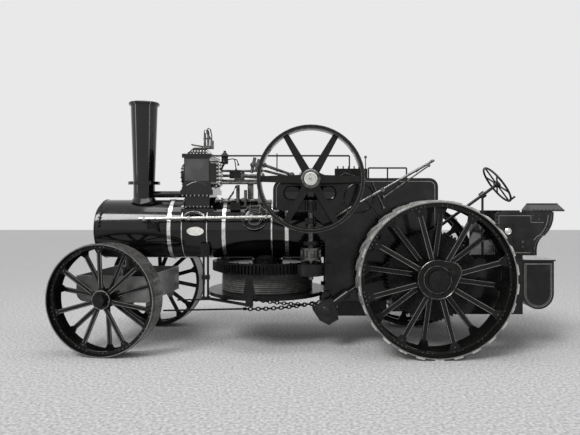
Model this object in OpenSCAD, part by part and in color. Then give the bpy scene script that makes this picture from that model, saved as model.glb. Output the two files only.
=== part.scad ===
// Steam traction engine of the ploughing type, with a winding drum under the boiler.
// Millimetres. The front is towards -X, up is +Z, the engine's left side is towards -Y.
// Every x below is counted from the rear axle; place() moves the whole engine into its frame.

/* [Rear wheels] */
// Diameter over the strakes
rear_wheel_d = 2000; // [1940:10:2060]
// Width of the tread
rear_wheel_w = 500; // [440:10:520]
// Distance from the centre line to the outer face of a rear wheel
rear_face_y = 1200; // [1190:5:1240]
// How far the strakes stand out of the tread
strake_h = 18; // [14:1:30]
// Number of strakes on a wheel
strakes = 26; // [16:1:28]

/* [Front wheels] */
// Diameter of the tread
front_wheel_d = 1450; // [1400:10:1500]
// Width of the tread
front_wheel_w = 320; // [300:10:360]
// Distance from the centre line to the outer face of a front wheel
front_face_y = 1075; // [1060:5:1120]
// Distance between the front and the rear axle
wheelbase = 4140; // [4080:10:4200]
// Angle at which the front axle stands turned
steer_rest = -7; // [-12:1:12]

/* [Boiler] */
// Radius over the lagging
boiler_r = 420; // [410:5:430]
// Height of the boiler's axis
boiler_z = 1588; // [1580:2:1600]
// Height of the chimney's top
chimney_top = 3405; // [3300:5:3500]

/* [Engine] */
// Distance of the crankshaft ahead of the rear axle
crank_x = -1590; // [-1600:5:-1580]
// Height of the crankshaft
crank_z = 2270; // [2260:5:2280]
// Diameter of the flywheel
flywheel_d = 1380; // [1300:10:1400]

/* [Winding gear] */
// Distance of the drum's axis ahead of the rear axle
drum_x = -2215; // [-2225:5:-2205]
// Tooth module of the drum's ring gear and its pinion
gear_m = 16; // [16]
// Teeth on the ring gear
ring_teeth = 96; // [96]
// Teeth on the drum pinion
pinion_teeth = 16; // [16]
// Radius of the rope wound on the drum
rope_r = 650; // [560:10:700]

/* [Tender] */
// Height of the footplate
floor_z = 1270; // [1260:5:1290]
// Half width over the side plates
tender_y = 625; // [600:5:640]
// Height of the side plates' top edge
tender_top = 1840; // [1800:10:1880]

/* [Hidden] */

// Place of the rear axle in the engine's frame, which has its origin midway along
rear_axle_x = 1562.4;
left = -1;
right = 1;
// Clearance of a shaft in its bearing, and of pieces that pass each other
fit = 0.1;
gap = 6;
// Clearance of a piece from the curved face that it sits on
seat = 0.3;
plate = 12;
pinion_reach = gear_m * (ring_teeth + pinion_teeth) / 2;
mesh_x = crank_x - drum_x;
shaft_y = -sqrt(pinion_reach * pinion_reach - mesh_x * mesh_x);
mesh_angle = atan2(shaft_y, mesh_x);
kingpin_x = -wheelbase;
rear_r = rear_wheel_d / 2;
front_r = front_wheel_d / 2;
hornplate_y = 450;
hornplate_t = 25;
smoke_r = boiler_r - 4;
smoke_front = kingpin_x - 405;
smoke_back = kingpin_x + 560;
// Front and back of the cylinder block
block_x0 = smoke_back + 237;
block_x1 = block_x0 + 355;

iron = "#2c2b29";
paint = "#3b3f38";
dark = "#1f1f1f";
brass = "#b8913e";
steel = "#8d8f90";
wheel_paint = "#5a3a30";
rope_grey = "#77736a";

module place() translate([rear_axle_x, 0, 0]) children();
// Lays a shape drawn around +Z along the engine, or across it
module along_x() rotate([0, 90, 0]) children();
module along_y() rotate([90, 0, 0]) children();
module ring(r_out, r_in, h) difference() {
    cylinder(r = r_out, h = h, $fn = 96);
    translate([0, 0, -1]) cylinder(r = r_in, h = h + 2, $fn = 96);
}
module block(low, high) translate(low) cube(high - low);
// A round bar from one point to another
module bar(a, b, r) {
    run = b - a;
    translate(a) rotate([0, acos(run[2] / norm(run)), atan2(run[1], run[0])])
        cylinder(r = r, h = norm(run), $fn = 24);
}
// A plate in the engine's side view, from y_low on for its thickness
module side_plate(y_low, t, points) translate([0, y_low + t, 0]) along_y() linear_extrude(t) polygon(points);
function arc(cx, cz, r, a0, a1, n) = [for (i = [0:n]) let (a = a0 + (a1 - a0) * i / n)
    [cx + r * cos(a), cz + r * sin(a)]];

// Wheels. A wheel is drawn around +Z, with its outer face up at the tread's full width.
module tread(r, w, t, web_in, web_r, web_t) {
    difference() {
        cylinder(r = r, h = w, $fn = 96);
        translate([0, 0, -1]) cylinder(r = r - t, h = w + 2, $fn = 96);
    }
    for (z = [web_in, w - web_in - web_t]) translate([0, 0, z]) ring(r - t / 2, web_r, web_t);
}
// A flat spoke with its end spread to a foot
module spoke(r0, r1, width, foot, foot_len, t) linear_extrude(t) polygon([
    [r0, -width / 2], [r1 - foot_len, -width / 2], [r1, -foot / 2],
    [r1, foot / 2], [r1 - foot_len, width / 2], [r0, width / 2]]);

rear_tread_t = 18;
rear_web_in = 90;
rear_web_r = 912;
rear_web_t = 16;
rear_spokes = 8;
rear_spoke_w = 72;
rear_axle_r = 80;
module rear_rim() {
    tread_r = rear_r - strake_h;
    tread(tread_r, rear_wheel_w, rear_tread_t, rear_web_in, rear_web_r, rear_web_t);
    intersection() {
        ring(rear_r, tread_r - rear_tread_t / 2, rear_wheel_w);
        for (k = [0:strakes - 1]) rotate(360 * k / strakes)
            translate([tread_r, 0, rear_wheel_w / 2]) rotate([24, 0, 0])
                cube([4 * strake_h, 105, 2 * rear_wheel_w], center = true);
    }
}
// Driving plate of a rear wheel: a disc with a lobe that carries the driving pin
lobe = [176, 92];
lobe_r = 130;
module lobed_disc(r) {
    circle(r = r, $fn = 96);
    translate(lobe) circle(r = lobe_r, $fn = 64);
    reach = norm(lobe);
    turn = acos((r - lobe_r) / reach);
    rotate(atan2(lobe[1], lobe[0])) polygon([for (s = [-turn, turn]) each s < 0
        ? [(r - 1) * [cos(s), sin(s)], [reach, 0] + (lobe_r - 1) * [cos(s), sin(s)]]
        : [[reach, 0] + (lobe_r - 1) * [cos(s), sin(s)], (r - 1) * [cos(s), sin(s)]]]);
}
module rear_hub() {
    outer_z = rear_wheel_w - rear_web_in - 2 * rear_web_t;
    difference() {
        union() {
            translate([0, 0, 30]) cylinder(r = 150, h = outer_z + 40, $fn = 64);
            // Columns: height of a spoke ring's underside, turn of its first spoke
            for (set = [[rear_web_in + rear_web_t, 37.3], [outer_z, 14.8]])
                translate([0, 0, set[0]]) rotate(set[1]) {
                    cylinder(r = 240, h = 34, $fn = 64);
                    for (k = [0:rear_spokes - 1]) rotate(360 * k / rear_spokes)
                        intersection() {
                            spoke(200, 970, rear_spoke_w, 200, 150, rear_web_t);
                            cylinder(r = rear_r - strake_h - rear_tread_t - 1, h = rear_web_t, $fn = 96);
                        }
                }
            translate([0, 0, outer_z + rear_web_t - 1]) linear_extrude(28) lobed_disc(250);
            translate([lobe[0], lobe[1], outer_z + 40]) cylinder(r = 45, h = 50, $fn = 32);
        }
        cylinder(r = rear_axle_r + fit, h = 3 * rear_wheel_w, center = true, $fn = 64);
    }
}
// Lays a wheel drawn around +Z so that its outer face is on the given side, the right one mirrored
module wheel_at(x, z, side, face_y, w) mirror([0, side > 0 ? 1 : 0, 0])
    translate([x, w - face_y, z]) rotate([90, 0, 0]) children();

// The rib round the tread stands this high
rib_h = 6;
front_tread_t = 16;
front_web_in = 55;
front_web_r = 655;
front_web_t = 14;
front_spokes = 7;
front_axle_r = 48;
module front_rim() {
    tread(front_r - rib_h, front_wheel_w, front_tread_t, front_web_in, front_web_r, front_web_t);
    translate([0, 0, front_wheel_w - 54]) ring(front_r, front_r - rib_h - 4, 14);
}
module front_hub() difference() {
    union() {
        translate([0, 0, 10]) cylinder(r = 92, h = front_wheel_w - 50, $fn = 64);
        // Columns: height of a spoke ring's underside, turn of its first spoke
        for (set = [[front_web_in + front_web_t, 144.4 + 180 / front_spokes],
                    [front_wheel_w - front_web_in - 2 * front_web_t, 144.4]])
            translate([0, 0, set[0]]) rotate(set[1]) {
                cylinder(r = 124, h = 26, $fn = 64);
                for (k = [0:front_spokes - 1]) rotate(360 * k / front_spokes)
                    intersection() {
                        spoke(100, 720, 60, 190, 120, front_web_t);
                        cylinder(r = front_r - rib_h - front_tread_t - 1, h = front_web_t, $fn = 96);
                    }
            }
    }
    cylinder(r = front_axle_r + fit, h = 3 * front_wheel_w, center = true, $fn = 64);
}
module wheel_cap(r_shaft, r_cap, sides, shaft_from, shaft_to) {
    translate([0, 0, shaft_from]) cylinder(r = r_shaft, h = shaft_to - shaft_from, $fn = 64);
    translate([0, 0, shaft_to]) cylinder(r = r_cap, h = 50, $fn = sides);
}
module steered() place() translate([kingpin_x, 0, 0]) rotate(steer_rest) children();

module rear_wheel(side) place() wheel_at(0, rear_r, side, rear_face_y, rear_wheel_w) children();
module front_wheel(side) steered() wheel_at(0, front_r, side, front_face_y, front_wheel_w) children();
module rear_rim_left() color(wheel_paint) rear_wheel(left) rear_rim();
module rear_hub_left() color(wheel_paint) rear_wheel(left) rear_hub();
module rear_rim_right() color(wheel_paint) rear_wheel(right) rear_rim();
module rear_hub_right() color(wheel_paint) rear_wheel(right) rear_hub();
module front_rim_left() color(wheel_paint) front_wheel(left) front_rim();
module front_hub_left() color(wheel_paint) front_wheel(left) front_hub();
module front_rim_right() color(wheel_paint) front_wheel(right) front_rim();
module front_hub_right() color(wheel_paint) front_wheel(right) front_hub();

module rear_axle() color(iron) place() {
    translate([0, rear_face_y - 40, rear_r]) along_y()
        cylinder(r = rear_axle_r, h = 2 * rear_face_y - 80, $fn = 64);
    for (side = [left, right]) wheel_at(0, rear_r, side, rear_face_y, rear_wheel_w) {
        translate([0, 0, rear_wheel_w - 44]) cylinder(r = 127, h = 44, $fn = 64);
        translate([0, 0, -120]) ring(125, rear_axle_r - 1, 100);
    }
}

// Boiler
module boiler_round(r, x0, x1) translate([x0, 0, boiler_z]) along_x() cylinder(r = r, h = x1 - x0, $fn = 128);
firebox_front = crank_x + 250;
firebox_back = -480;
hornplate_front = firebox_front - 55;
// Front edge of the plates' upper part
hornplate_start = crank_x - 515;
hornplate_top = crank_z + 30;
module boiler_barrel() color(paint) place() boiler_round(boiler_r, smoke_back, firebox_front);
band_t = 7;
band_w = 50;
band_x = [smoke_back + 35, block_x1 + 198, hornplate_start + 185];
module boiler_bands() color(brass) place() for (x = band_x) difference() {
    boiler_round(boiler_r + band_t, x - band_w / 2, x + band_w / 2);
    boiler_round(boiler_r, x - band_w, x + band_w);
}
// The boiler's room in a piece that sits on it, wider where it crosses a band
module boiler_room() {
    boiler_round(boiler_r + seat, smoke_back - 1, firebox_back + 1);
    for (x = band_x) boiler_round(boiler_r + band_t + seat, x - band_w / 2 - 5, x + band_w / 2 + 5);
}
module smokebox() color(iron) place() {
    difference() {
        union() {
            boiler_round(smoke_r, smoke_front, smoke_back);
            boiler_round(smoke_r - 30, smoke_front - 30, smoke_front + 50);
        }
        boiler_round(smoke_r - 16, smoke_front + 40, smoke_back - 30);
        boiler_round(330, smoke_front - 50, smoke_front + 60);
        translate([chimney_x, 0, boiler_z]) cylinder(r = chimney_bore, h = 600, $fn = 64);
    }
    // Lugs and pin of the door's hinge
    for (z = [-198, 174]) block([door_x - 48, door_hinge_y - 20, boiler_z + z],
        [smoke_front - 29, door_hinge_y + 20, boiler_z + z + 24]);
    translate([door_x - 29, door_hinge_y, boiler_z - 190]) cylinder(r = 8, h = 380, $fn = 24);
}
door_hinge_y = 390;
door_x = smoke_front - 30 - gap;
module smokebox_door() color(iron) place() difference() {
    door_solid();
    translate([door_x - 29, door_hinge_y, boiler_z - 200]) cylinder(r = 8 + fit, h = 400, $fn = 24);
}
module door_solid() {
    boiler_round(350, door_x - 24, door_x);
    translate([door_x - 20, 0, boiler_z]) intersection() {
        translate([590, 0, 0]) sphere(r = 640, $fn = 96);
        translate([-60, 0, 0]) along_x() cylinder(r = 300, h = 60, $fn = 96);
    }
    translate([door_x - 120, 0, boiler_z]) along_x() cylinder(r = 22, h = 60, $fn = 32);
    translate([door_x - 110, 0, boiler_z]) bar([0, 0, -150], [0, 0, 150], 11);
    for (z = [-140, 140]) block([door_x - 36, 120, boiler_z + z - 25], [door_x - 22, door_hinge_y, boiler_z + z + 25]);
    translate([door_x - 29, door_hinge_y, boiler_z - 170]) cylinder(r = 16, h = 340, $fn = 32);
}

chimney_x = kingpin_x + 140;
chimney_bore = 120;
chimney_r = 152;
module chimney() color(dark) place() translate([chimney_x, 0, 0]) {
    flare_z = boiler_z + 342;
    flange_z = boiler_z + 632;
    lip_z = chimney_top - 40;
    difference() {
        union() {
            translate([0, 0, flare_z - 60]) cylinder(r = 225, h = 60, $fn = 64);
            translate([0, 0, flare_z]) cylinder(r1 = 225, r2 = chimney_r, h = 100, $fn = 64);
            translate([0, 0, flare_z + 90]) cylinder(r = chimney_r, h = flange_z - flare_z - 80, $fn = 64);
            translate([0, 0, flange_z]) cylinder(r = 225, h = 45, $fn = 64);
            translate([0, 0, flange_z + 45]) cylinder(r1 = chimney_r, r2 = 190, h = lip_z - flange_z - 45, $fn = 96);
            translate([0, 0, lip_z]) cylinder(r = 210, h = 40, $fn = 96);
        }
        translate([0, 0, boiler_z]) cylinder(r = chimney_bore, h = flange_z - boiler_z + 60, $fn = 64);
        translate([0, 0, flange_z + 45]) cylinder(r1 = 140, r2 = 180, h = chimney_top - flange_z, $fn = 96);
        translate([-chimney_x, 0, 0]) boiler_round(smoke_r + seat, smoke_front, smoke_back);
    }
}

// Cylinders and the motion on top of the boiler
block_y = 370;
chest_y = 260;
cyl_z = 2350;
exhaust_z = boiler_z + 493;
module exhaust_pipe() color(iron) place() difference() {
    bar([block_x0 - 48, 0, exhaust_z], [chimney_x, 0, exhaust_z], 47);
    translate([chimney_x, 0, boiler_z]) cylinder(r = chimney_r + seat, h = 800, $fn = 64);
}
// A slab of the cylinder block, wider than its body by the given overhang
module slab(over_x, over_y, z0, z1) block([block_x0 - over_x, -block_y - over_y, z0],
    [block_x1 + over_x, block_y + over_y, z1]);
module cylinder_block() color(paint) place() {
    slab(0, 0, 2220, 2590);
    slab(28, 12, 2585, 2640);
    // Dome over the steam space
    hull() {
        slab(-30, -30, 2639, 2650);
        slab(-110, -130, 2650, 2738);
    }
    // Flared skirt with a step below it
    hull() {
        slab(8, 6, 2195, 2250);
        slab(36, 14, 2135, 2140);
    }
    slab(48, 20, 2072, 2140);
    difference() {
        slab(-10, -40, 1700, 2075);
        boiler_room();
    }
    intersection() {
        difference() {
            boiler_round(boiler_r + 34, smoke_back, firebox_front);
            boiler_room();
        }
        slab(48, -20, 1800, 2200);
    }
    // Covers of the two cylinders, ahead and behind, and their glands
    for (y = [-185, 185]) {
        translate([block_x0 - 40, y, cyl_z]) along_x() cylinder(r = 165, h = 41, $fn = 64);
        translate([block_x1 - 1, y, cyl_z]) along_x() cylinder(r = 165, h = 61, $fn = 64);
    }
    block([block_x1 - 1, -block_y + 12, cyl_z - 140], [block_x1 + 120, -block_y + 260, cyl_z + 190]);
    translate([block_x1 + 59, 0, cyl_z]) along_x() cylinder(r = 48, h = 51, $fn = 32);
    block([block_x1 - 1, -80, cyl_z - 80], [block_x1 + 60, 80, cyl_z + 80]);
}
module safety_valves() color(brass) place() translate([block_x0 + 245, 0, 2738]) {
    cylinder(r = 62, h = 40, $fn = 48);
    for (x = [-24, 24]) translate([x, 0, 30]) cylinder(r = 17, h = 220, $fn = 32);
    translate([0, 0, 225]) cylinder(r1 = 44, r2 = 30, h = 50, $fn = 48);
    bar([0, 0, 250], [80, 0, 110], 12);
    translate([80, 0, -2]) cylinder(r = 26, h = 122, $fn = 32);
    bar([-210, 0, 60], [0, 0, 25], 10);
}
rod_end = crank_x - 245;
module motion_bars() color(steel) place() {
    x0 = block_x1 + 60;
    // Two slide bars, the piston rod, its crosshead and the connecting rod up to the crank's sweep
    for (z = [cyl_z - 84, cyl_z + 54]) block([x0, -42, z], [x0 + 560, 42, z + 30]);
    block([x0 + 240, -50, cyl_z - 54], [x0 + 380, 50, cyl_z + 54]);
    bar([x0 + 50 + seat, 0, cyl_z], [x0 + 245, 0, cyl_z], 20);
    bar([x0 + 375, 0, cyl_z], [rod_end, 0, crank_z + 12], 28);
    difference() {
        block([x0 + 430, -60, 1700], [x0 + 510, 60, cyl_z - 84]);
        boiler_room();
    }
    // Valve rod, its guide and the sloping eccentric rod
    bar([block_x1 + 120, -chest_y, cyl_z + 60], [-2230, -chest_y, cyl_z + 60], 14);
    bar([-2235, -chest_y, cyl_z + 60], [crank_x - 290, -chest_y, crank_z + 50], 18);
    difference() {
        block([-2330, -chest_y - 25, 1700], [-2280, -chest_y + 25, cyl_z + 90]);
        boiler_room();
    }
}

// Plates beside the firebox, which carry the crankshaft and the rear axle
module firebox() color(paint) place() {
    boiler_round(boiler_r, firebox_front, firebox_back);
    block([firebox_front, -hornplate_y, 620], [firebox_back, hornplate_y, boiler_z]);
}
module ashpan() color(iron) place()
    block([firebox_front + 120, -380, 400], [firebox_back - 60, 380, 620]);
module hornplate(side) {
    y0 = side > 0 ? hornplate_y : -hornplate_y - hornplate_t;
    difference() {
        side_plate(y0, hornplate_t, concat(
            [[hornplate_start, 1865]], arc(hornplate_start + 160, hornplate_top - 160, 160, 180, 90, 6),
            arc(30, hornplate_top - 120, 120, 90, 0, 6),
            [[150, 1290], [200, 1290], [200, rear_r - 130], [firebox_back, rear_r - 130], [firebox_back, 640],
             [hornplate_front, 640], [hornplate_front, 1640], [hornplate_start + 465, 1865]]));
        for (hole = [[crank_x, crank_z, crank_r], [0, rear_r, rear_axle_r]])
            translate([hole[0], 2000, hole[1]]) along_y() cylinder(r = hole[2] + fit, h = 4000, $fn = 64);
    }
}
module hornplate_left() color(paint) place() hornplate(left);
module hornplate_right() color(paint) place() hornplate(right);
// Columns: x, z and radius of each stay between the plates
stays = [[hornplate_start + 90, 2110, 34], [-330, 2190, 30], [60, 2110, 30]];
module cross_stays() color(iron) place() for (row = stays)
    translate([row[0], hornplate_y - seat, row[1]]) along_y()
        cylinder(r = row[2], h = 2 * (hornplate_y - seat), $fn = 32);
module gear_guard() color(paint) place() {
    y0 = hornplate_y + hornplate_t;
    difference() {
        translate([0, y0 + 150, 0]) along_y() linear_extrude(150) hull() {
            translate([crank_x, crank_z]) circle(r = 190, $fn = 64);
            translate([-880, 1850]) circle(r = 300, $fn = 64);
        }
        translate([crank_x, 2000, crank_z]) along_y() cylinder(r = crank_r + fit, h = 4000, $fn = 64);
    }
}
crank_r = 60;
fly_y0 = -1020;
fly_w = 200;
module flywheel() color(dark) place() translate([crank_x, fly_y0 + fly_w, crank_z]) along_y() {
    rim_t = 52;
    difference() {
        union() {
            ring(flywheel_d / 2, flywheel_d / 2 - rim_t, fly_w);
            translate([0, 0, -20]) cylinder(r = 118, h = fly_w + 40, $fn = 64);
            for (k = [0:5]) rotate(60 * k) translate([0, 0, fly_w / 2 - 20]) linear_extrude(40)
                polygon([[100, -55], [640, -38], [640, 38], [100, 55]]);
        }
        translate([0, 0, -50]) cylinder(r = crank_r, h = 400, $fn = 64);
    }
}
throw = 150;
module crankshaft() color(steel) place() translate([crank_x, 0, crank_z]) {
    // Columns: y where a length of the shaft starts and ends
    for (run = [[-1060, -50], [50, 640]])
        translate([0, run[1], 0]) along_y() cylinder(r = crank_r, h = run[1] - run[0], $fn = 64);
    translate([0, fly_y0 - 20, 0]) along_y() cylinder(r = 70, h = 24, $fn = 48);
    for (y = [-90, 50]) translate([0, y + 40, 0]) along_y() linear_extrude(40)
        polygon([[-throw - 50, -60], [-throw - 50, 60], [40, 85], [90, 50], [90, -50], [40, -85]]);
    translate([-throw, 60, 0]) along_y() cylinder(r = 42, h = 120, $fn = 48);
    // Big end of the connecting rod, on its pin
    difference() {
        translate([-throw, 40, 0]) along_y() cylinder(r = 76, h = 80, $fn = 48);
        translate([-throw, 100, 0]) along_y() cylinder(r = 41, h = 200, $fn = 48);
    }
    // Two eccentrics
    for (y = [-310, -250]) translate([-40, y + 45, 10]) along_y() cylinder(r = 150, h = 45, $fn = 64);
}

// Winding gear
// One side of an involute tooth, from the root to the tip, as polar [radius, half angle]
function inv(a) = tan(a) * 180 / PI - a;
function flank(n, steps) = let (rp = gear_m * n / 2, rb = rp * cos(20), r0 = max(rb, rp - 1.2 * gear_m),
    r1 = rp + gear_m, half = 90 / n - 60 / rp)
    [for (i = [0:steps]) let (r = r0 + (r1 - r0) * i / steps)
        [r, half + inv(20) - inv(acos(rb / r))]];
function gear_points(n, steps) = [for (k = [0:n - 1]) let (f = flank(n, steps), mid = 360 * k / n,
    root = gear_m * n / 2 - 1.25 * gear_m)
    each concat(
        [[root * cos(mid - f[0][1]), root * sin(mid - f[0][1])]],
        [for (p = f) [p[0] * cos(mid - p[1]), p[0] * sin(mid - p[1])]],
        [for (i = [steps:-1:0]) let (p = f[i]) [p[0] * cos(mid + p[1]), p[0] * sin(mid + p[1])]],
        [[root * cos(mid + f[0][1]), root * sin(mid + f[0][1])]])];
teeth_z0 = 1015;
teeth_z1 = 1135;
drum_z0 = 680;
flange_t = 50;
drum_z1 = 1000;
stud_r = 110;
module winding_drum() color(iron) place() translate([drum_x, 0, 0]) difference() {
    union() {
        translate([0, 0, drum_z0]) cylinder(r = 845, h = flange_t, $fn = 128);
        translate([0, 0, drum_z0]) cylinder(r = 500, h = drum_z1 - drum_z0 + 10, $fn = 96);
        translate([0, 0, drum_z1]) cylinder(r = 735, h = 150, $fn = 128);
        translate([0, 0, teeth_z0]) rotate(mesh_angle) linear_extrude(teeth_z1 - teeth_z0)
            polygon(gear_points(ring_teeth, 2));
    }
    translate([0, 0, 1085]) ring(700, 220, 100);
    translate([0, 0, 650]) cylinder(r = stud_r + fit, h = 600, $fn = 64);
}
module wound_rope() color(rope_grey) place() translate([drum_x, 0, drum_z0 + flange_t])
    ring(rope_r, 500, drum_z1 - drum_z0 - flange_t);
module drum_stud() color(iron) place() {
    translate([drum_x, 0, 0]) {
        translate([0, 0, 650]) cylinder(r = stud_r, h = 506, $fn = 64);
        translate([0, 0, 620]) cylinder(r = 200, h = drum_z0 - 620 - gap, $fn = 64);
    }
    difference() {
        translate([drum_x, 0, 1156]) cylinder(r = 200, h = 200, $fn = 64);
        boiler_room();
    }
}
// The guide hangs on two rods from the boiler and reaches under the drum to a plate at its near side
guide_x = drum_x - 830;
module rope_guide() color(iron) place() {
    foot_z = 640;
    difference() {
        union() {
            for (x = [guide_x - 30, guide_x + 30]) bar([x, -350, foot_z], [x, -350, 1500], 15);
            block([guide_x - 60, -410, 1230], [guide_x + 60, -270, 1400]);
            block([guide_x - 55, -380, 900], [guide_x + 55, -320, 960]);
        }
        boiler_room();
    }
    block([guide_x - 60, -385, foot_z - 20], [guide_x + 60, -315, foot_z + 20]);
    bar([guide_x, -350, foot_z], [drum_x - 180, -885, foot_z], 20);
    block([drum_x - 220, -900, foot_z - 20], [drum_x - 120, -870, 740]);
    side_plate(-900, 20, [[drum_x - 260, 722], [drum_x - 85, 722], [drum_x - 130, 988], [drum_x - 215, 988]]);
}
shaft_r = 36;
module vertical_shaft() color(steel) place() translate([crank_x, shaft_y, 0]) {
    translate([0, 0, 940]) cylinder(r = shaft_r, h = 1180, $fn = 48);
    // Sliding clutch with ribs up its side
    translate([0, 0, 1205]) cylinder(r = 112, h = 160, $fn = 64);
    translate([0, 0, 1205]) cylinder(r = 138, h = 30, $fn = 64);
    translate([0, 0, 1335]) cylinder(r = 138, h = 30, $fn = 64);
    for (k = [0:5]) rotate(60 * k) translate([90, -12, 1206]) cube([46, 24, 158]);
    for (k = [0:3]) rotate(90 * k) translate([60, -22, 1185]) cube([55, 44, 30]);
}
module drum_pinion() color(iron) place() translate([crank_x, shaft_y, 0]) difference() {
    union() {
        translate([0, 0, teeth_z0 - 10]) rotate(mesh_angle + 180 + 180 / pinion_teeth)
            linear_extrude(teeth_z1 - teeth_z0 + 20) polygon(gear_points(pinion_teeth, 4));
        for (z = [teeth_z0 - 24, teeth_z1 + 8]) translate([0, 0, z]) cylinder(r = 146, h = 16, $fn = 64);
        for (k = [0:3]) rotate(90 * k + 45) translate([60, -22, teeth_z1 + 20]) cube([55, 44, 24]);
    }
    cylinder(r = shaft_r + fit, h = 3000, $fn = 48);
}
casing_z = 2093;
casing_r = 93;
module shaft_brackets() color(paint) place() {
    y_in = -hornplate_y - hornplate_t;
    // Columns: z of the bearing's middle, height, radius of its flange, y that its foot reaches
    for (row = [[1920, 120, 78, y_in], [1720, 80, 78, -300], [1425, 50, 107, -300]]) difference() {
        union() {
            translate([crank_x, shaft_y, row[0] - row[1] / 2]) cylinder(r = row[2], h = row[1], $fn = 48);
            block([crank_x - 65, shaft_y, row[0] - row[1] / 2], [crank_x + 60, row[3], row[0] + row[1] / 2]);
        }
        boiler_room();
        translate([crank_x, shaft_y, 900]) cylinder(r = shaft_r + fit, h = 2000, $fn = 48);
    }
    // Rounded casing of the bevel wheels, and the crankshaft's bearing above it
    difference() {
        union() {
            translate([0, y_in, 0]) along_y() linear_extrude(215) {
                block_2d([crank_x - 267, casing_z - casing_r], [crank_x + 247, casing_z + casing_r]);
                for (x = [crank_x - 267, crank_x + 247]) translate([x, casing_z]) circle(r = casing_r, $fn = 48);
            }
            translate([crank_x, y_in, crank_z]) along_y() cylinder(r = 150, h = 225, $fn = 64);
            block([crank_x - 340, y_in - 120, 1965], [crank_x - 130, y_in, 1990]);
            block([crank_x - 390, y_in - 120, 1850], [crank_x - 60, y_in, 1885]);
        }
        translate([crank_x, shaft_y, 900]) cylinder(r = shaft_r + fit, h = 1230, $fn = 48);
        translate([crank_x, 2000, crank_z]) along_y() cylinder(r = crank_r + fit, h = 4000, $fn = 64);
    }
    // Guard round the pinion's outer side, on a rib from the firebox
    outward = atan2(shaft_y, mesh_x);
    translate([crank_x, shaft_y, 1000]) linear_extrude(150) difference() {
        circle(r = 190, $fn = 96);
        circle(r = 170, $fn = 96);
        rotate(outward + 180) polygon([[0, 0], [300, -643], [900, -643], [900, 643], [300, 643]]);
    }
    block([crank_x + 178, shaft_y + 60, 1010], [hornplate_front + 90, y_in, 1140]);
}
module block_2d(low, high) translate(low) square(high - low);

// Front axle and steering
tray_t = 12;
beam = 65;
module perch_bracket() color(iron) place() difference() {
    union() {
        translate([kingpin_x, 0, 1010]) cylinder(r = 190, h = 40, $fn = 64);
        translate([kingpin_x, 0, 1050]) cylinder(r = 130, h = 300, $fn = 64);
    }
    boiler_round(smoke_r + seat, smoke_front, smoke_back);
    translate([kingpin_x, 0, 1000]) cylinder(r = 45 + fit, h = 100, $fn = 48);
}
module front_axle() color(iron) steered() {
    reach = front_face_y - front_wheel_w - 20;
    block([-beam, -reach, front_r - beam], [beam, reach, front_r + beam]);
    cylinder_z = front_r + beam - 1;
    translate([0, 0, cylinder_z]) cylinder(r = 160, h = 1000 - cylinder_z, $fn = 64);
    translate([0, 0, cylinder_z]) cylinder(r = 45, h = 1080 - cylinder_z, $fn = 48);
    for (side = [left, right]) wheel_at(0, front_r, side, front_face_y, front_wheel_w)
        wheel_cap(front_axle_r, 84, 6, -25, front_wheel_w - 40 + gap);
}
module fore_tray() color(paint) steered() {
    front = -550;
    back = 440;
    y = 620;
    z0 = 630;
    z1 = 980;
    outline = concat([[front, z1], [back, z1], [back, z0]], arc(front + 120, z0 + 120, 120, 270, 180, 6));
    inner = concat([[front + tray_t, z1 + 20], [back - tray_t, z1 + 20], [back - tray_t, z0 + tray_t]],
        arc(front + 120, z0 + 120, 120 - tray_t, 270, 180, 6));
    difference() {
        side_plate(-y, 2 * y, outline);
        side_plate(-y + tray_t, 2 * (y - tray_t), inner);
        block([-beam, -1000, front_r - beam], [beam, 1000, front_r + beam]);
    }
    for (side = [left, right]) side_plate(side * 415 - 12, 24, [[back - 90, z0], [back - 90, z0 - 90],
        [back - 30, z0 - 90], [back, z0]]);
}
barrel_x = -1386;
barrel_z = 518;
barrel_r = 75;
column_y = -600;
column_r = 20;
wheel_hub = [913, column_y, 2208];
column_foot = [barrel_x, column_y, barrel_z + 20];
column_run = wheel_hub - column_foot;
// A point along the column, by its share of the way up
function on_column(share) = column_foot + share * column_run;
module chain_barrel() color(iron) place() translate([barrel_x, 0, barrel_z]) {
    translate([0, 540, 0]) along_y() cylinder(r = 35, h = 1080, $fn = 48);
    for (y = [-430, 350]) translate([0, y + 80, 0]) along_y() cylinder(r = barrel_r, h = 80, $fn = 48);
}
module worm_case() color(paint) place() difference() {
    union() {
        translate([barrel_x, -540, barrel_z]) along_y() cylinder(r = 140, h = 110, $fn = 48);
        bar(on_column(0), on_column(0.13), 55);
        side_plate(-662, plate, [for (p = [[-187, 53], [66, 174], [160, 13], [160, -107], [40, -180],
            [-80, -120], [-174, 27]]) [barrel_x, barrel_z] + p]);
        for (y = [-540, 520]) block([barrel_x - 50, y, barrel_z - 60], [barrel_x + 50, y + 20, barrel_z + 240]);
        for (y = [-540, hornplate_y]) block([barrel_x - 50, y, barrel_z + 100],
            [hornplate_front - seat, y + 540 - hornplate_y, barrel_z + 240]);
    }
    translate([barrel_x, 1000, barrel_z]) along_y() cylinder(r = 35 + fit, h = 2000, $fn = 48);
    bar(on_column(0.04), on_column(0.5), column_r + fit);
}
module steering_wheel() color(iron) place() {
    lean = atan2(column_run[0], column_run[2]);
    bar(on_column(0.05), wheel_hub, column_r);
    translate(wheel_hub) rotate([0, lean, 0]) {
        rotate_extrude($fn = 96) translate([272, 0]) circle(r = 14, $fn = 24);
        translate([0, 0, -30]) cylinder(r = 45, h = 60, $fn = 48);
        for (k = [0:5]) rotate(60 * k) bar([30, 0, 0], [272, 0, 0], 11);
        translate([272, 0, 10]) cylinder(r = 14, h = 90, $fn = 24);
    }
}
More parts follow.
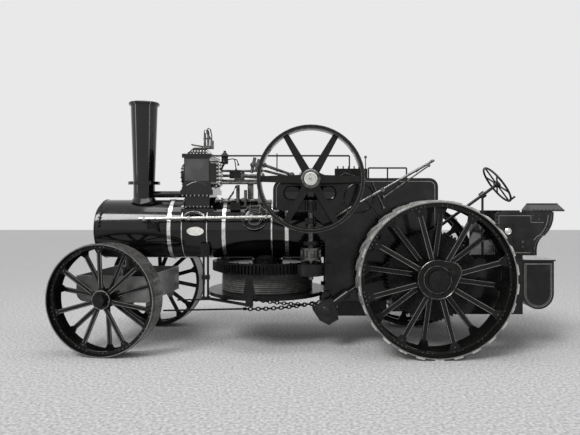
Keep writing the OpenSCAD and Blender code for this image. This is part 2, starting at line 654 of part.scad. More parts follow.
// Columns: side, height of the chain at the barrel
chain_runs = [[left, barrel_z + barrel_r + 17], [right, barrel_z - barrel_r - 17]];
module steering_chains() color(iron) place() for (run = chain_runs) {
    y = 390 * run[0];
    bar([-3620, 415 * run[0], 480], [-2500, 0.5 * (y + 415 * run[0]), 500], 14);
    bar([-2500, 0.5 * (y + 415 * run[0]), 500], [barrel_x, y, run[1]], 16);
}

// Tender
tender_x0 = 880;
tender_x1 = 1438;
// y and z of the toolbox lid's hinge, x where the box and its lid start and end
lid_hinge = [-214, tender_top + 22];
box_x = [1380, 1650];
lid_x = [1376, 1812];
box_y1 = -230;
post_share = 0.915;
post_x = on_column(post_share)[0];
module tender_body() color(paint) place() {
    outline = concat([[tender_x0, floor_z], [tender_x0, tender_top - 60]],
        arc(tender_x0 + 60, tender_top - 60, 60, 180, 90, 5),
        [[1665, tender_top]], arc(1290, 1800, 375, 0, -48, 5), arc(1688, 1330, 250, 130, 180, 5),
        [[tender_x1, floor_z]]);
    for (y = [-tender_y, tender_y - plate]) side_plate(y, plate, outline);
    block([tender_x0, -tender_y + plate, floor_z], [tender_x0 + plate, tender_y - plate, 1700]);
    block([tender_x1 - plate, -tender_y + plate, floor_z], [tender_x1, tender_y - plate, 1710]);
    // Open toolbox on the near side, and the pin of its lid between two lugs
    difference() {
        block([box_x[0], -tender_y + 1, 1700], [box_x[1], box_y1, tender_top + 10]);
        block([box_x[0] + plate, -tender_y + plate, 1700 + plate], [box_x[1] - plate, box_y1 - plate, 3000]);
    }
    for (x = [box_x[0] + 20, box_x[1] - 32])
        block([x, box_y1 - 1, tender_top], [x + plate, lid_hinge[0] + 10, lid_hinge[1] + 9]);
    translate([box_x[0] + 20, lid_hinge[0], lid_hinge[1]]) along_x()
        cylinder(r = 8, h = box_x[1] - box_x[0] - 40, $fn = 24);
    block([firebox_back, -hornplate_y, floor_z - plate], [tender_x0, hornplate_y, floor_z]);
    block([200, -tender_y, floor_z - plate], [tender_x1, tender_y, floor_z]);
    // Post that carries the steering column
    difference() {
        union() {
            translate([post_x, column_y, floor_z]) cylinder(r = 16, h = 780, $fn = 32);
            bar(on_column(post_share - 0.012), on_column(post_share + 0.012), 45);
        }
        bar(on_column(0.5), on_column(1), column_r + fit);
    }
}
module water_tank() color(paint) place() {
    block([210, -tender_y, 470], [1250, tender_y, floor_z - plate]);
    block([firebox_back + 10, -hornplate_y + 10, 470], [211, hornplate_y - 10, 850]);
}
// A shape drawn as [-z, y] points, run along the engine
module run_x(x) translate([x[0], 0, 0]) along_x() linear_extrude(x[1] - x[0]) children();
module toolbox_lid() color(paint) place() difference() {
    base = tender_top + 10 + seat;
    eave = box_y1 - 6;
    knuckle = [box_x[0] + 38, box_x[1] - 38];
    union() {
        run_x(lid_x) polygon([[-base, -tender_y + 3], [-base - 14, -tender_y + 3], [-base - 95, -410],
            [-base - 14, eave], [-base, eave]]);
        run_x(knuckle) translate([-lid_hinge[1], lid_hinge[0]]) circle(r = 14, $fn = 32);
        block([knuckle[0], eave - 1, base], [knuckle[1], lid_hinge[0], base + 12]);
    }
    translate([0, lid_hinge[0], lid_hinge[1]]) along_x() cylinder(r = 8 + fit, h = 3000, $fn = 24);
}
module rear_locker() color(paint) place()
    side_plate(-620, 1240, concat([[1250, 1180], [1250, 745]], arc(1460, 745, 210, 180, 360, 12), [[1670, 1180]]));
module locker_lid() color(paint) place() block([1250, -635, 1180], [1685, 635, 1200]);
module drawbar() color(iron) place() difference() {
    union() {
        block([1670, -60, 670], [1800, 60, 710]);
        translate([1800, 0, 670]) cylinder(r = 60, h = 40, $fn = 48);
    }
    translate([1800, 0, 600]) cylinder(r = 25, h = 200, $fn = 48);
}
rail_y = -hornplate_y - hornplate_t / 2;
rail_z = hornplate_top + 138;
// Row of bearing caps on the near hornplate's top edge
caps_x0 = crank_x + 330;
caps_x1 = crank_x + 775;
caps_z = hornplate_top + 130;
module control_rods() color(steel) place() {
    bar([block_x1 + 28, -block_y, 2612], [caps_x0 + 205, -block_y, 2612], 12);
    bar([caps_x0 + 205, -block_y, 2612], [caps_x0 + 205, -block_y, caps_z], 10);
    // Hand rail along the top edge
    bar([-800, rail_y, rail_z], [-280, rail_y, rail_z], 11);
    for (x = [-800, -540, -280]) bar([x, rail_y, hornplate_top], [x, rail_y, rail_z], 10);
}
module lubricators() color(brass) place() {
    // Oil pot beside the cylinders, on a bracket from their cover
    pot = [block_x1 + 200, -310];
    translate([pot[0], pot[1], 2500]) cylinder(r = 45, h = 130, $fn = 32);
    translate([pot[0], pot[1], 2630]) cylinder(r1 = 45, r2 = 20, h = 30, $fn = 32);
    block([block_x1 + 120, pot[1] - 12, 2510], [pot[0], pot[1] + 12, 2535]);
    bar([block_x1 + 131, pot[1], 2400], [pot[0], pot[1], 2515], 12);
    block([caps_x0, rail_y - 12, hornplate_top], [caps_x1, rail_y + 100, caps_z]);
    for (k = [0:4]) translate([caps_x0 + 40 + 75 * k, rail_y + 20, caps_z - 5])
        cylinder(r = 9, h = 40, $fn = 16);
}
module reversing_lever() color(steel) place() {
    difference() {
        bar([80, -540, 2540], [-1250, -540, 1780], 18);
    }
    translate([-620, -475, 2140]) along_y() cylinder(r = 30, h = 100, $fn = 32);
}

boiler_barrel();
boiler_bands();
smokebox();
smokebox_door();
chimney();
exhaust_pipe();
cylinder_block();
safety_valves();
motion_bars();
control_rods();
lubricators();
firebox();
ashpan();
hornplate_left();
hornplate_right();
cross_stays();
gear_guard();
flywheel();
crankshaft();
vertical_shaft();
shaft_brackets();
drum_pinion();
winding_drum();
wound_rope();
drum_stud();
rope_guide();
rear_axle();
rear_rim_left();
rear_hub_left();
rear_rim_right();
rear_hub_right();
perch_bracket();
front_axle();
fore_tray();
front_rim_left();
front_hub_left();
front_rim_right();
front_hub_right();
steering_wheel();
worm_case();
chain_barrel();
steering_chains();
tender_body();
water_tank();
toolbox_lid();
rear_locker();
locker_lid();
drawbar();
reversing_lever();
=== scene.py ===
"""Steam ploughing engine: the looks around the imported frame.

Metres. The front is towards -X, up is +Z, and the engine's left side is towards -Y.
"""
import math

import bmesh
import bpy
from mathutils import Matrix, Vector


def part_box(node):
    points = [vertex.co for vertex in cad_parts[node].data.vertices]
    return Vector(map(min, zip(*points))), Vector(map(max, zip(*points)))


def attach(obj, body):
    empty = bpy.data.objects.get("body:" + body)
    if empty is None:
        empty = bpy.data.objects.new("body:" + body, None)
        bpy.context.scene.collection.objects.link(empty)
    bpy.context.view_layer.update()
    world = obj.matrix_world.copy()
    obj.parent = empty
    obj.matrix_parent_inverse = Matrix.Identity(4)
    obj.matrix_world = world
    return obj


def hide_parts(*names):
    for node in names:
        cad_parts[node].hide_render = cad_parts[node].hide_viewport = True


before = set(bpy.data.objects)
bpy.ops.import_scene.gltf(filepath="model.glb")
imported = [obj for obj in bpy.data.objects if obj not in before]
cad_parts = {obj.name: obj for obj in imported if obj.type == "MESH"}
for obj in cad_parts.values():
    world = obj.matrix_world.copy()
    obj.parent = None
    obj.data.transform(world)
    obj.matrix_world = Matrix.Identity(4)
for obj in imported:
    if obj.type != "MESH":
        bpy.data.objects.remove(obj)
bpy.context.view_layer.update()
scene = bpy.context.scene
scene.view_settings.view_transform = "Standard"

# Camera. It stands to the engine's left, 2 m above the ground and a little ahead of the middle, and
# looks square onto the side, straight at AIM_PX. A shift of the lens frames the engine. Places along
# the engine are counted from the rear axle, which is in the middle of the left wheel's rim.
wheel_low, wheel_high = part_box("rear_rim_left")
AXLE_X = (wheel_low.x + wheel_high.x) / 2
FRAME_WIDTH_PX = 580
FOCAL_PX = 573
SENSOR_MM = 36
SHIFT_PX = (-20, -17.5)
CAMERA_PLACE = (-1.6, -8.3, 2.0)
AIM_PX = (310, 200)


def at(x, y, z):
    """A point of the engine, with x counted from the rear axle."""
    return Vector((AXLE_X + x, y, z))


camera_data = bpy.data.cameras.new("camera")
camera_data.sensor_width = SENSOR_MM
camera_data.lens = FOCAL_PX / FRAME_WIDTH_PX * SENSOR_MM
camera_data.shift_x, camera_data.shift_y = [shift / FRAME_WIDTH_PX for shift in SHIFT_PX]
camera = bpy.data.objects.new("camera", camera_data)
bpy.context.collection.objects.link(camera)
camera.location = at(*CAMERA_PLACE)
camera.rotation_euler = (math.radians(90), 0, 0)
scene.camera = camera


# Boiler, smokebox, firebox and chimney. Riveted steel plate, and over the barrel thin cladding sheets
# on lagging. All of it is brush painted in gloss black and varnished.


def rgb(text):
    """An sRGB hex colour as Blender's linear colour."""
    parts = [int(text[i:i + 2], 16) / 255 for i in (1, 3, 5)]
    return [c / 12.92 if c <= 0.04045 else ((c + 0.055) / 1.055) ** 2.4 for c in parts] + [1]


def add(tree, kind, settings=None, inputs=None):
    """Adds a node with its settings and its inputs: a value, or another node's output to link."""
    new = tree.nodes.new(kind)
    for name, value in (settings or {}).items():
        setattr(new, name, value)
    for name, value in (inputs or {}).items():
        socket = new.inputs[name]
        if isinstance(value, bpy.types.NodeSocket):
            tree.links.new(value, socket)
        else:
            socket.default_value = value
    return new


def shader(name):
    """A new material with its tree, its Principled shader and the object's own coordinates."""
    material = bpy.data.materials.new(name)
    material.use_nodes = True
    tree = material.node_tree
    place = add(tree, "ShaderNodeTexCoord").outputs["Object"]
    return material, tree, tree.nodes["Principled BSDF"], place


def mottle(tree, place, size_mm, detail, low, high, clean=0, worn=1):
    """Uneven patches of about a size: the clean value where the noise is under low, worn over high."""
    noise = add(tree, "ShaderNodeTexNoise",
                inputs={"Vector": place, "Scale": 1000 / size_mm, "Detail": detail})
    return add(tree, "ShaderNodeMapRange",
               inputs={"Value": noise.outputs["Fac"], "From Min": low, "From Max": high,
                       "To Min": clean, "To Max": worn}).outputs[0]


def finish(name, colour, worn, patch_mm, gloss, metal=0.0, coat=0.0, bump_mm=0.0, grain_mm=4.0, shine=0.5):
    """A finish that shifts from its colour to a worn one in patches, with its own gloss and grain.

    gloss is the roughness where it is clean and where it is worn. shine is the level of the plain
    reflection, low under thick dark paint. Cast grain is drawn 4 mm wide, coarser than real, so that
    it shows, and paint over sheets as the sheets' own slow waves.
    """
    material, tree, surface, place = shader(name)
    shade = add(tree, "ShaderNodeMix", {"data_type": "RGBA"},
                {0: mottle(tree, place, patch_mm, 6, 0.45, 0.68), 6: rgb(colour), 7: rgb(worn)})
    tree.links.new(shade.outputs[2], surface.inputs["Base Color"])
    smudge = mottle(tree, place, patch_mm / 3, 4, 0.4, 0.65, *gloss)
    tree.links.new(smudge, surface.inputs["Roughness"])
    surface.inputs["Metallic"].default_value = metal
    surface.inputs["Specular IOR Level"].default_value = shine
    surface.inputs["Coat Weight"].default_value = coat
    surface.inputs["Coat Roughness"].default_value = gloss[0] / 2
    if bump_mm:
        grain = add(tree, "ShaderNodeTexNoise",
                    inputs={"Vector": place, "Scale": 1000 / grain_mm, "Detail": 3})
        bump = add(tree, "ShaderNodeBump",
                   inputs={"Height": grain.outputs["Fac"], "Distance": bump_mm / 1000})
        tree.links.new(bump.outputs[0], surface.inputs["Normal"])
    return material


def wear(look, *nodes):
    """Puts a finish on nodes of the frame, in place of their plain one."""
    for node in nodes:
        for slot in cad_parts[node].material_slots:
            slot.material = look


# Varnished gloss black: very dark, with sharp narrow reflections and slow waves of the sheets
boiler_paint = finish("boiler paint", "#080808", "#101010", 300, (0.1, 0.2), coat=0.5, shine=0.2,
                      bump_mm=0.1, grain_mm=140)
wear(boiler_paint, "boiler_barrel", "smokebox", "firebox", "chimney")
# Black iron, forged or cast and oiled: a dark satin grain without a coat
black_iron = finish("black iron", "#0D0D0D", "#1A1918", 90, (0.22, 0.42), shine=0.25, bump_mm=0.3)
wear(black_iron, "smokebox_door", "exhaust_pipe", "ashpan")

# Bands round the boiler. Polished brass hoops and thin straps hold the cladding, each pulled tight
# underneath by two screws. The angle round the boiler is 0 degrees on its left side and 90 on top.
BOILER_Z = 1.588
BOILER_R = 0.42
BAND_X = (-3.545, -2.79, -1.88)
# Polished brass, which black and white shows nearly white: it mirrors the studio in soft patches
brass = finish("brass", "#F3F2EF", "#CDCBC6", 50, (0.1, 0.26), metal=0.9, bump_mm=0.1)
wear(brass, "boiler_bands")


def piece(name, mesh, look, body="chassis", smooth=True):
    """Makes a piece from a bmesh, with its slot and its finish, and lets it ride on a body."""
    bmesh.ops.recalc_face_normals(mesh, faces=mesh.faces)
    data = bpy.data.meshes.new(name)
    mesh.to_mesh(data)
    mesh.free()
    data.materials.append(look)
    if smooth:
        data.shade_smooth()
        data.set_sharp_from_angle(angle=math.radians(35))
    made = bpy.data.objects.new(name, data)
    bpy.context.collection.objects.link(made)
    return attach(made, body)


def facing(place, normal):
    """A matrix that puts a shape drawn around +Z at a place, facing along a normal."""
    return Matrix.Translation(place) @ Vector(normal).to_track_quat("Z", "Y").to_matrix().to_4x4()


def lathe(mesh, profile, matrix, segments=24):
    """Turns (radius, height) points around +Z into the mesh."""
    rings = []
    for radius, height in profile:
        turn = [math.tau * k / segments for k in range(segments if radius > 1e-6 else 1)]
        rings.append([mesh.verts.new(matrix @ Vector((radius * math.cos(a), radius * math.sin(a), height)))
                      for a in turn])
    for lower, upper in zip(rings, rings[1:]):
        for k in range(segments):
            following = (k + 1) % segments
            corners = [lower[k % len(lower)], lower[following % len(lower)],
                       upper[following % len(upper)], upper[k % len(upper)]]
            distinct = list(dict.fromkeys(corners))
            if len(distinct) > 2:
                mesh.faces.new(distinct)


def bolt(mesh, place, normal, radius=0.016):
    """Adds a hexagon nut with the end of its stud."""
    matrix = facing(place, normal)
    lathe(mesh, [(radius, -0.001), (radius, radius * 0.8), (radius * 0.85, radius), (0, radius)], matrix, 6)
    lathe(mesh, [(radius * 0.5, radius), (radius * 0.45, radius * 1.5), (0, radius * 1.55)], matrix, 8)


def on_boiler(x, degrees, radius):
    """A point round the boiler: 0 degrees is its left side, 90 its top."""
    angle = math.radians(degrees)
    return at(x, -radius * math.cos(angle), BOILER_Z + radius * math.sin(angle))


def off_boiler(degrees):
    """The outward direction there."""
    angle = math.radians(degrees)
    return Vector((0, -math.cos(angle), math.sin(angle)))


def hoop(mesh, x, width, radius, rise):
    """A band round the boiler with softened edges."""
    matrix = Matrix.Translation(at(x, 0, BOILER_Z)) @ Matrix.Rotation(math.pi / 2, 4, "Y")
    half = width / 2
    lathe(mesh, [(radius, -half), (radius + rise, -half + rise / 2), (radius + rise, half - rise / 2),
                 (radius, half)], matrix, 96)


straps = bmesh.new()
for x, width in ((-3.37, 0.014), (-3.024, 0.014), (-2.13, 0.022)):
    hoop(straps, x, width, BOILER_R, 0.004)
piece("cladding_straps", straps, brass)
clasps = bmesh.new()
for x in BAND_X:
    for degrees in (-96, -88):
        bolt(clasps, on_boiler(x, degrees, BOILER_R + 0.007), off_boiler(degrees), 0.012)
piece("band_clasps", clasps, brass)

# Panel on the side below the cylinders. A sheet that stands off the cladding, arched at its top,
# under a deep rounded hood with a thin bright strip along its top, which is a painted highlight.
# It is riveted on and painted with the boiler.
PANEL_X = (-3.36, -3.034)
UP = Vector((0, 0, 1))
# Forged and machined steel, handled and oiled: a dull grey metal with darker patches
bright_steel = finish("bright steel", "#6B6B6A", "#373634", 60, (0.16, 0.36), metal=0.9, bump_mm=0.1)


def tube(mesh, points, radius, segments=10, closed=False):
    """Adds a round bar along points that are already in place."""
    rings = []
    count = len(points)
    for k, point in enumerate(points):
        before = points[(k - 1) % count] if closed or k else point
        after = points[(k + 1) % count] if closed or k < count - 1 else point
        run = (after - before).normalized()
        side = run.cross(UP if abs(run.z) < 0.9 else Vector((1, 0, 0))).normalized()
        top = side.cross(run)
        rings.append([mesh.verts.new(point + radius * (math.cos(a) * side + math.sin(a) * top))
                      for a in [math.tau * j / segments for j in range(segments)]])
    pairs = list(zip(rings, rings[1:])) + ([(rings[-1], rings[0])] if closed else [])
    for lower, upper in pairs:
        for j in range(segments):
            following = (j + 1) % segments
            mesh.faces.new([lower[j], lower[following], upper[following], upper[j]])
    if not closed:
        mesh.faces.new(rings[0][::-1])
        mesh.faces.new(rings[-1])


def curved_sheet(mesh, x0, x1, edge, radius, rise, columns=16, rows=14):
    """A sheet that stands off the boiler from edge(share)'s low angle to its high one."""
    grid = []
    for i in range(columns + 1):
        share = i / columns
        low, high = edge(share)
        x = x0 + (x1 - x0) * share
        grid.append([mesh.verts.new(on_boiler(x, low + (high - low) * j / rows, radius + rise))
                     for j in range(rows + 1)])
    for first, second in zip(grid, grid[1:]):
        for j in range(rows):
            mesh.faces.new([first[j], second[j], second[j + 1], first[j + 1]])
    rim = [g[0] for g in grid] + grid[-1][1:] + [g[-1] for g in grid[::-1]][1:] + grid[0][::-1][1:-1]
    low_rim = []
    for v in rim:
        offset = Vector((v.co.x, v.co.y, v.co.z - BOILER_Z))
        flat = Vector((0, offset.y, offset.z)).normalized() * radius
        low_rim.append(mesh.verts.new((offset.x, flat.y, flat.z + BOILER_Z)))
    for k in range(len(rim)):
        following = (k + 1) % len(rim)
        mesh.faces.new([rim[k], rim[following], low_rim[following], low_rim[k]])


def panel_edge(share):
    """Low and high angle of the panel across its width."""
    return -62, 16 + 17 * math.sqrt(max(0, 1 - (2 * share - 1) ** 2))


panel = bmesh.new()
curved_sheet(panel, *PANEL_X, panel_edge, BOILER_R, 0.006)
piece("side_panel", panel, boiler_paint)
bead = bmesh.new()
arch = [on_boiler(-3.362 + 0.33 * k / 24, panel_edge(k / 24)[1] - 2, BOILER_R + 0.02) for k in range(25)]
tube(bead, arch, 0.03, 12)
piece("panel_hood", bead, boiler_paint)
# A thin steel strip along the hood's top: a painted highlight, where the hood's gloss mirrors the sky
gleam = bmesh.new()
tube(gleam, [p + Vector((0, -0.02, 0.026)) for p in arch], 0.008, 6)
piece("panel_hood_highlight", gleam, bright_steel)

# Oval plate on the panel. Cast in white metal with a raised rim, curved to the boiler and riveted on.
# It is left blank.
OVAL_X = -3.177
OVAL_HALF = (0.1165, 0.0585)
OVAL_POINTS = 40
# Rubbed white metal: nearly white, softly bright and almost even
plate_metal = finish("blank plate", "#F4F2EC", "#D8D5CB", 40, (0.15, 0.3), metal=0.4, bump_mm=0.05)


def oval(mesh, scale, rise):
    """A ring of points of the plate's oval, laid over the boiler."""
    ring = []
    for k in range(OVAL_POINTS):
        angle = math.tau * k / OVAL_POINTS
        degrees = -2.3 + math.degrees(scale * OVAL_HALF[1] * math.sin(angle) / BOILER_R)
        ring.append(mesh.verts.new(on_boiler(OVAL_X + scale * OVAL_HALF[0] * math.cos(angle), degrees,
                                             BOILER_R + rise)))
    return ring


plate = bmesh.new()
rings = [oval(plate, *row) for row in ((1, 0.004), (1, 0.013), (0.93, 0.013), (0.91, 0.011), (0.4, 0.012))]
for lower, upper in zip(rings, rings[1:]):
    for k in range(OVAL_POINTS):
        following = (k + 1) % OVAL_POINTS
        plate.faces.new([lower[k], lower[following], upper[following], upper[k]])
plate.faces.new(rings[-1])
piece("blank_plate", plate, plate_metal)

# Hand rail along the near side. A polished steel tube in round knobs on short stands that are
# screwed into the boiler, with a small cast bracket below its front end.
RAIL_Y = -0.5
RAIL = [(-3.93, 1.745), (-2.13, 1.77)]
NEAR = Vector((0, -1, 0))
# Polished steel: a pale mirror-like metal, a little smeared
polished_steel = finish("polished steel", "#D2D2D0", "#98978F", 40, (0.12, 0.25), metal=0.8, bump_mm=0.05)
rail = bmesh.new()
tube(rail, [at(x, RAIL_Y, z) for x, z in RAIL], 0.021, 12)
for x in (-3.86, -3.25, -2.2):
    z = RAIL[0][1] + (x - RAIL[0][0]) / (RAIL[1][0] - RAIL[0][0]) * (RAIL[1][1] - RAIL[0][1])
    root_y = -math.sqrt(BOILER_R ** 2 - (z - BOILER_Z) ** 2) + 0.01
    tube(rail, [at(x, root_y, z), at(x, RAIL_Y, z)], 0.009, 8)
    lathe(rail, [(0.0, -0.032), (0.025, -0.022), (0.032, 0), (0.025, 0.022), (0, 0.032)],
          Matrix.Translation(at(x, RAIL_Y, z)), 12)
piece("boiler_rail", rail, polished_steel)


def box(mesh, low, high, matrix=None):
    """Adds a box between two corners, counted as at() does, or in a matrix's own frame."""
    corners = [Vector((x, y, z)) for x in (low[0], high[0]) for y in (low[1], high[1])
               for z in (low[2], high[2])]
    made = [mesh.verts.new(matrix @ c if matrix else at(*c)) for c in corners]
    for face in ((0, 1, 3, 2), (4, 6, 7, 5), (0, 4, 5, 1), (2, 3, 7, 6), (0, 2, 6, 4), (1, 5, 7, 3)):
        mesh.faces.new([made[k] for k in face])


bracket = bmesh.new()
box(bracket, (-3.84, -0.438, 1.6), (-3.68, -0.41, 1.7))
tube(bracket, [at(-3.85, -0.44, 1.73), at(-3.78, -0.47, 1.71), at(-3.7, -0.47, 1.64),
               at(-3.68, -0.44, 1.56)], 0.016, 8)
for x, z in ((-3.82, 1.62), (-3.82, 1.68), (-3.7, 1.62), (-3.7, 1.68)):
    bolt(bracket, at(x, -0.438, z), NEAR, 0.012)
piece("smokebox_bracket", bracket, black_iron)

# Inspection cover on the boiler's shoulder. A round cast cover with stepped rings, held by nuts, two
# bent clamp bars and a lagged pipe with collars above it.
COVER_TURN = 23
PIPE_Y = -0.2
PIPE_Z = 1.99


def around(radius, degrees, height):
    """A point of a round part's own frame, whose +Z comes out of its face."""
    angle = math.radians(degrees)
    return Vector((radius * math.cos(angle), radius * math.sin(angle), height))


cover = bmesh.new()
cover_at = facing(on_boiler(-2.363, COVER_TURN, BOILER_R - 0.035), off_boiler(COVER_TURN))
lathe(cover, [(0.185, 0), (0.182, 0.05), (0.165, 0.056), (0.15, 0.044), (0.135, 0.044), (0.128, 0.06),
              (0.1, 0.064), (0.088, 0.05), (0.05, 0.052), (0, 0.06)], cover_at, 48)
for k in range(10):
    bolt(cover, cover_at @ around(0.167, 36 * k, 0.054), off_boiler(COVER_TURN), 0.011)
piece("inspection_cover", cover, boiler_paint)
clamps = bmesh.new()
for inside, height in ((0.171, 0.054), (0.108, 0.062), (0.082, 0.05)):
    lathe(clamps, [(inside, height), (inside + 0.002, height + 0.004), (inside + 0.008, height + 0.004),
                   (inside + 0.01, height)], cover_at, 48)
for x in (-2.432, -2.294):
    tube(clamps, [on_boiler(x, 30, BOILER_R + 0.03), on_boiler(x, 46, BOILER_R + 0.045),
                  on_boiler(x, 58, BOILER_R + 0.01)], 0.011, 8)
tube(clamps, [at(-2.87, PIPE_Y, 1.965), at(-2.8, PIPE_Y, PIPE_Z), at(-2.26, PIPE_Y, PIPE_Z)], 0.03, 12)
for x in (-2.84, -2.55, -2.28):
    lathe(clamps, [(0.03, -0.012), (0.042, -0.012), (0.042, 0.012), (0.03, 0.012)],
          Matrix.Translation(at(x, PIPE_Y, PIPE_Z)) @ Matrix.Rotation(math.pi / 2, 4, "Y"), 12)
piece("shoulder_pipe", clamps, bright_steel)

# Rivets of the smokebox. Round heads of black iron, closed hot, in a ring at each end, along a seam
# and round the front, and a curved lug on its near shoulder that four bolts hold.
SMOKE_R = 0.416


def rivet(mesh, place, normal, radius=0.009):
    """Adds a round rivet head."""
    lathe(mesh, [(radius, -0.001), (radius * 0.8, radius * 0.5), (0, radius * 0.75)],
          facing(place, normal), 8)


heads = bmesh.new()
for x in (-4.525, -3.605):
    for k in range(44):
        degrees = 360 * k / 44
        rivet(heads, on_boiler(x, degrees, SMOKE_R), off_boiler(degrees), 0.011)
for k in range(20):
    rivet(heads, on_boiler(-4.47 + 0.043 * k, -38, SMOKE_R), off_boiler(-38), 0.01)
for k in range(24):
    angle = math.tau * k / 24
    place = at(-4.565, 0.385 * math.cos(angle), BOILER_Z + 0.3695 * math.sin(angle))
    rivet(heads, place + Vector((-0.01, 0, 0)), (-1, 0, 0), 0.011)
for degrees in (8, 16, 24, 32):
    bolt(heads, on_boiler(-4.5, degrees, SMOKE_R), off_boiler(degrees), 0.02)
tube(heads, [on_boiler(-4.52, 5, SMOKE_R + 0.012), on_boiler(-4.49, 36, SMOKE_R + 0.012)], 0.014, 8)
piece("smokebox_rivets", heads, black_iron)

# Chimney. Rolled plate that widens towards its top, with a riveted seam up its near side, and a
# turned cast cap. It is painted gloss black with the boiler.
CHIMNEY_X = -4.0
CHIMNEY_Z = (2.265, 3.405)
CHIMNEY_FOOT_R = 0.152
CHIMNEY_SLOPE = 0.038 / 1.1
SEAM_TURN = math.radians(-14)
stack = bmesh.new()
outward = Vector((math.cos(SEAM_TURN), math.sin(SEAM_TURN), 0))
for k in range(38):
    z = 2.3 + 0.028 * k
    radius = CHIMNEY_FOOT_R + (z - CHIMNEY_Z[0]) * CHIMNEY_SLOPE
    rivet(stack, at(CHIMNEY_X, 0, z) + outward * radius, outward, 0.009)
lathe(stack, [(0.205, -0.034), (0.216, -0.028), (0.218, -0.012), (0.212, -0.002), (0.2, 0.001),
              (0.182, 0.001)], Matrix.Translation(at(CHIMNEY_X, 0, CHIMNEY_Z[1])), 48)
piece("chimney_trim", stack, boiler_paint)

# Cylinder block. A pair of cast cylinders, high pressure and low, side by side on a saddle. Steel
# cladding in dark grey enamel covers the near side, and studs with bright nuts hold covers and saddle.
BLOCK_X = (-3.343, -2.988)
BLOCK_Y = -0.37
wear(boiler_paint, "cylinder_block")
# Dark grey enamel on sheet steel: a mid tone with smooth, wide reflections
cylinder_lagging = finish("cylinder lagging", "#343434", "#464645", 200, (0.1, 0.2), coat=0.4,
                          bump_mm=0.2, grain_mm=120)
nuts = bmesh.new()
for k in range(9):
    x = BLOCK_X[0] + 0.0444 * k
    bolt(nuts, at(x, BLOCK_Y + 0.012, 2.64), UP, 0.011)
for k in range(8):
    x = BLOCK_X[0] - 0.02 + 0.0564 * k
    bolt(nuts, at(x, BLOCK_Y - 0.002, 2.072), (0, 0, -1), 0.014)
for y in (-0.3, -0.1, 0.1, 0.3):
    for x in (BLOCK_X[0] - 0.028, BLOCK_X[1] + 0.028):
        bolt(nuts, at(x, y, 2.612), (math.copysign(1, x + 3.16), 0, 0), 0.012)
for k in range(7):
    x = BLOCK_X[0] + 0.06 + 0.04 * k
    bolt(nuts, at(x, BLOCK_Y + 0.062, 2.675), (0, -0.75, 0.66), 0.011)
for k in range(9):
    x = BLOCK_X[0] - 0.03 + 0.051 * k
    bolt(nuts, on_boiler(x, 44, BOILER_R + 0.034), off_boiler(44), 0.013)
piece("cylinder_nuts", nuts, polished_steel)

# Covers of the cylinders and of the valve chest. Turned cast plates with stepped faces, painted
# black, each held by studs and a ring of polished nuts.
covers = bmesh.new()
for y in (-0.185, 0.185):
    for x, direction in ((BLOCK_X[0] - 0.04, -1), (BLOCK_X[1] + 0.06, 1)):
        cover_face = facing(at(x, y, 2.35), (direction, 0, 0))
        lathe(covers, [(0.15, 0), (0.148, 0.008), (0.11, 0.01), (0.1, 0.022), (0.05, 0.028), (0, 0.03)],
              cover_face, 48)
        for k in range(12):
            bolt(covers, cover_face @ around(0.132, 30 * k + 15, 0.008), (direction, 0, 0), 0.012)
piece("cylinder_covers", covers, boiler_paint)
chest = bmesh.new()
for k in range(7):
    for z in (2.235, 2.515):
        bolt(chest, at(-2.968 + 0.017 * k, BLOCK_Y + 0.012, z), NEAR, 0.008)
for j in range(6):
    z = 2.25 + 0.05 * j
    for y in (-0.34, -0.13):
        bolt(chest, at(-2.868, y, z), (1, 0, 0), 0.02)
    bolt(chest, at(-2.885, BLOCK_Y + 0.012, z), NEAR, 0.013)
piece("chest_nuts", chest, polished_steel)

# Cladding of the block's near side. One flat enamelled steel sheet, screwed on over the lagging, and
# below it the rolled bead that arches over the block's neck.
skirt = bmesh.new()
arch = [at(BLOCK_X[0] + 0.02 + 0.315 * k / 20, BLOCK_Y - 0.004, 2.19 + 0.06 * math.sin(math.pi * k / 20))
        for k in range(21)]
tube(skirt, arch, 0.006, 8)
box(skirt, (BLOCK_X[0] + 0.012, BLOCK_Y - 0.003, 2.265), (BLOCK_X[1] - 0.012, BLOCK_Y + 0.01, 2.57))
piece("block_cladding", skirt, cylinder_lagging)

# Safety valves and whistle on top of the block. Turned gunmetal bodies on a flange, a spring lever
# and a bent pipe, bolted down together.
wear(bright_steel, "safety_valves")
valves = bmesh.new()
VALVE_FLANGE = (-3.098, 0, 2.738)
base = at(*VALVE_FLANGE)
for x in (-0.024, 0.024):
    lathe(valves, [(0.022, 0.04), (0.022, 0.05), (0.018, 0.055), (0.018, 0.14), (0.024, 0.145),
                   (0.024, 0.16), (0.017, 0.165)], Matrix.Translation(base + Vector((x, 0, 0))), 16)
WHISTLE_PIPE = [(0, -0.02, 0.26), (0.03, -0.02, 0.3), (0.06, -0.02, 0.28), (0.075, -0.02, 0.2),
                (0.08, -0.01, 0.1)]
SPRING_LEVER = [(-0.22, -0.01, 0.068), (-0.15, -0.01, 0.052), (-0.06, -0.01, 0.04)]
for points, radius in ((WHISTLE_PIPE, 0.009), (SPRING_LEVER, 0.008)):
    tube(valves, [base + Vector(point) for point in points], radius, 8)
lathe(valves, [(0.062, 0.0), (0.07, 0.006), (0.07, 0.02), (0.055, 0.03)], Matrix.Translation(base), 24)
piece("valve_fittings", valves, bright_steel)

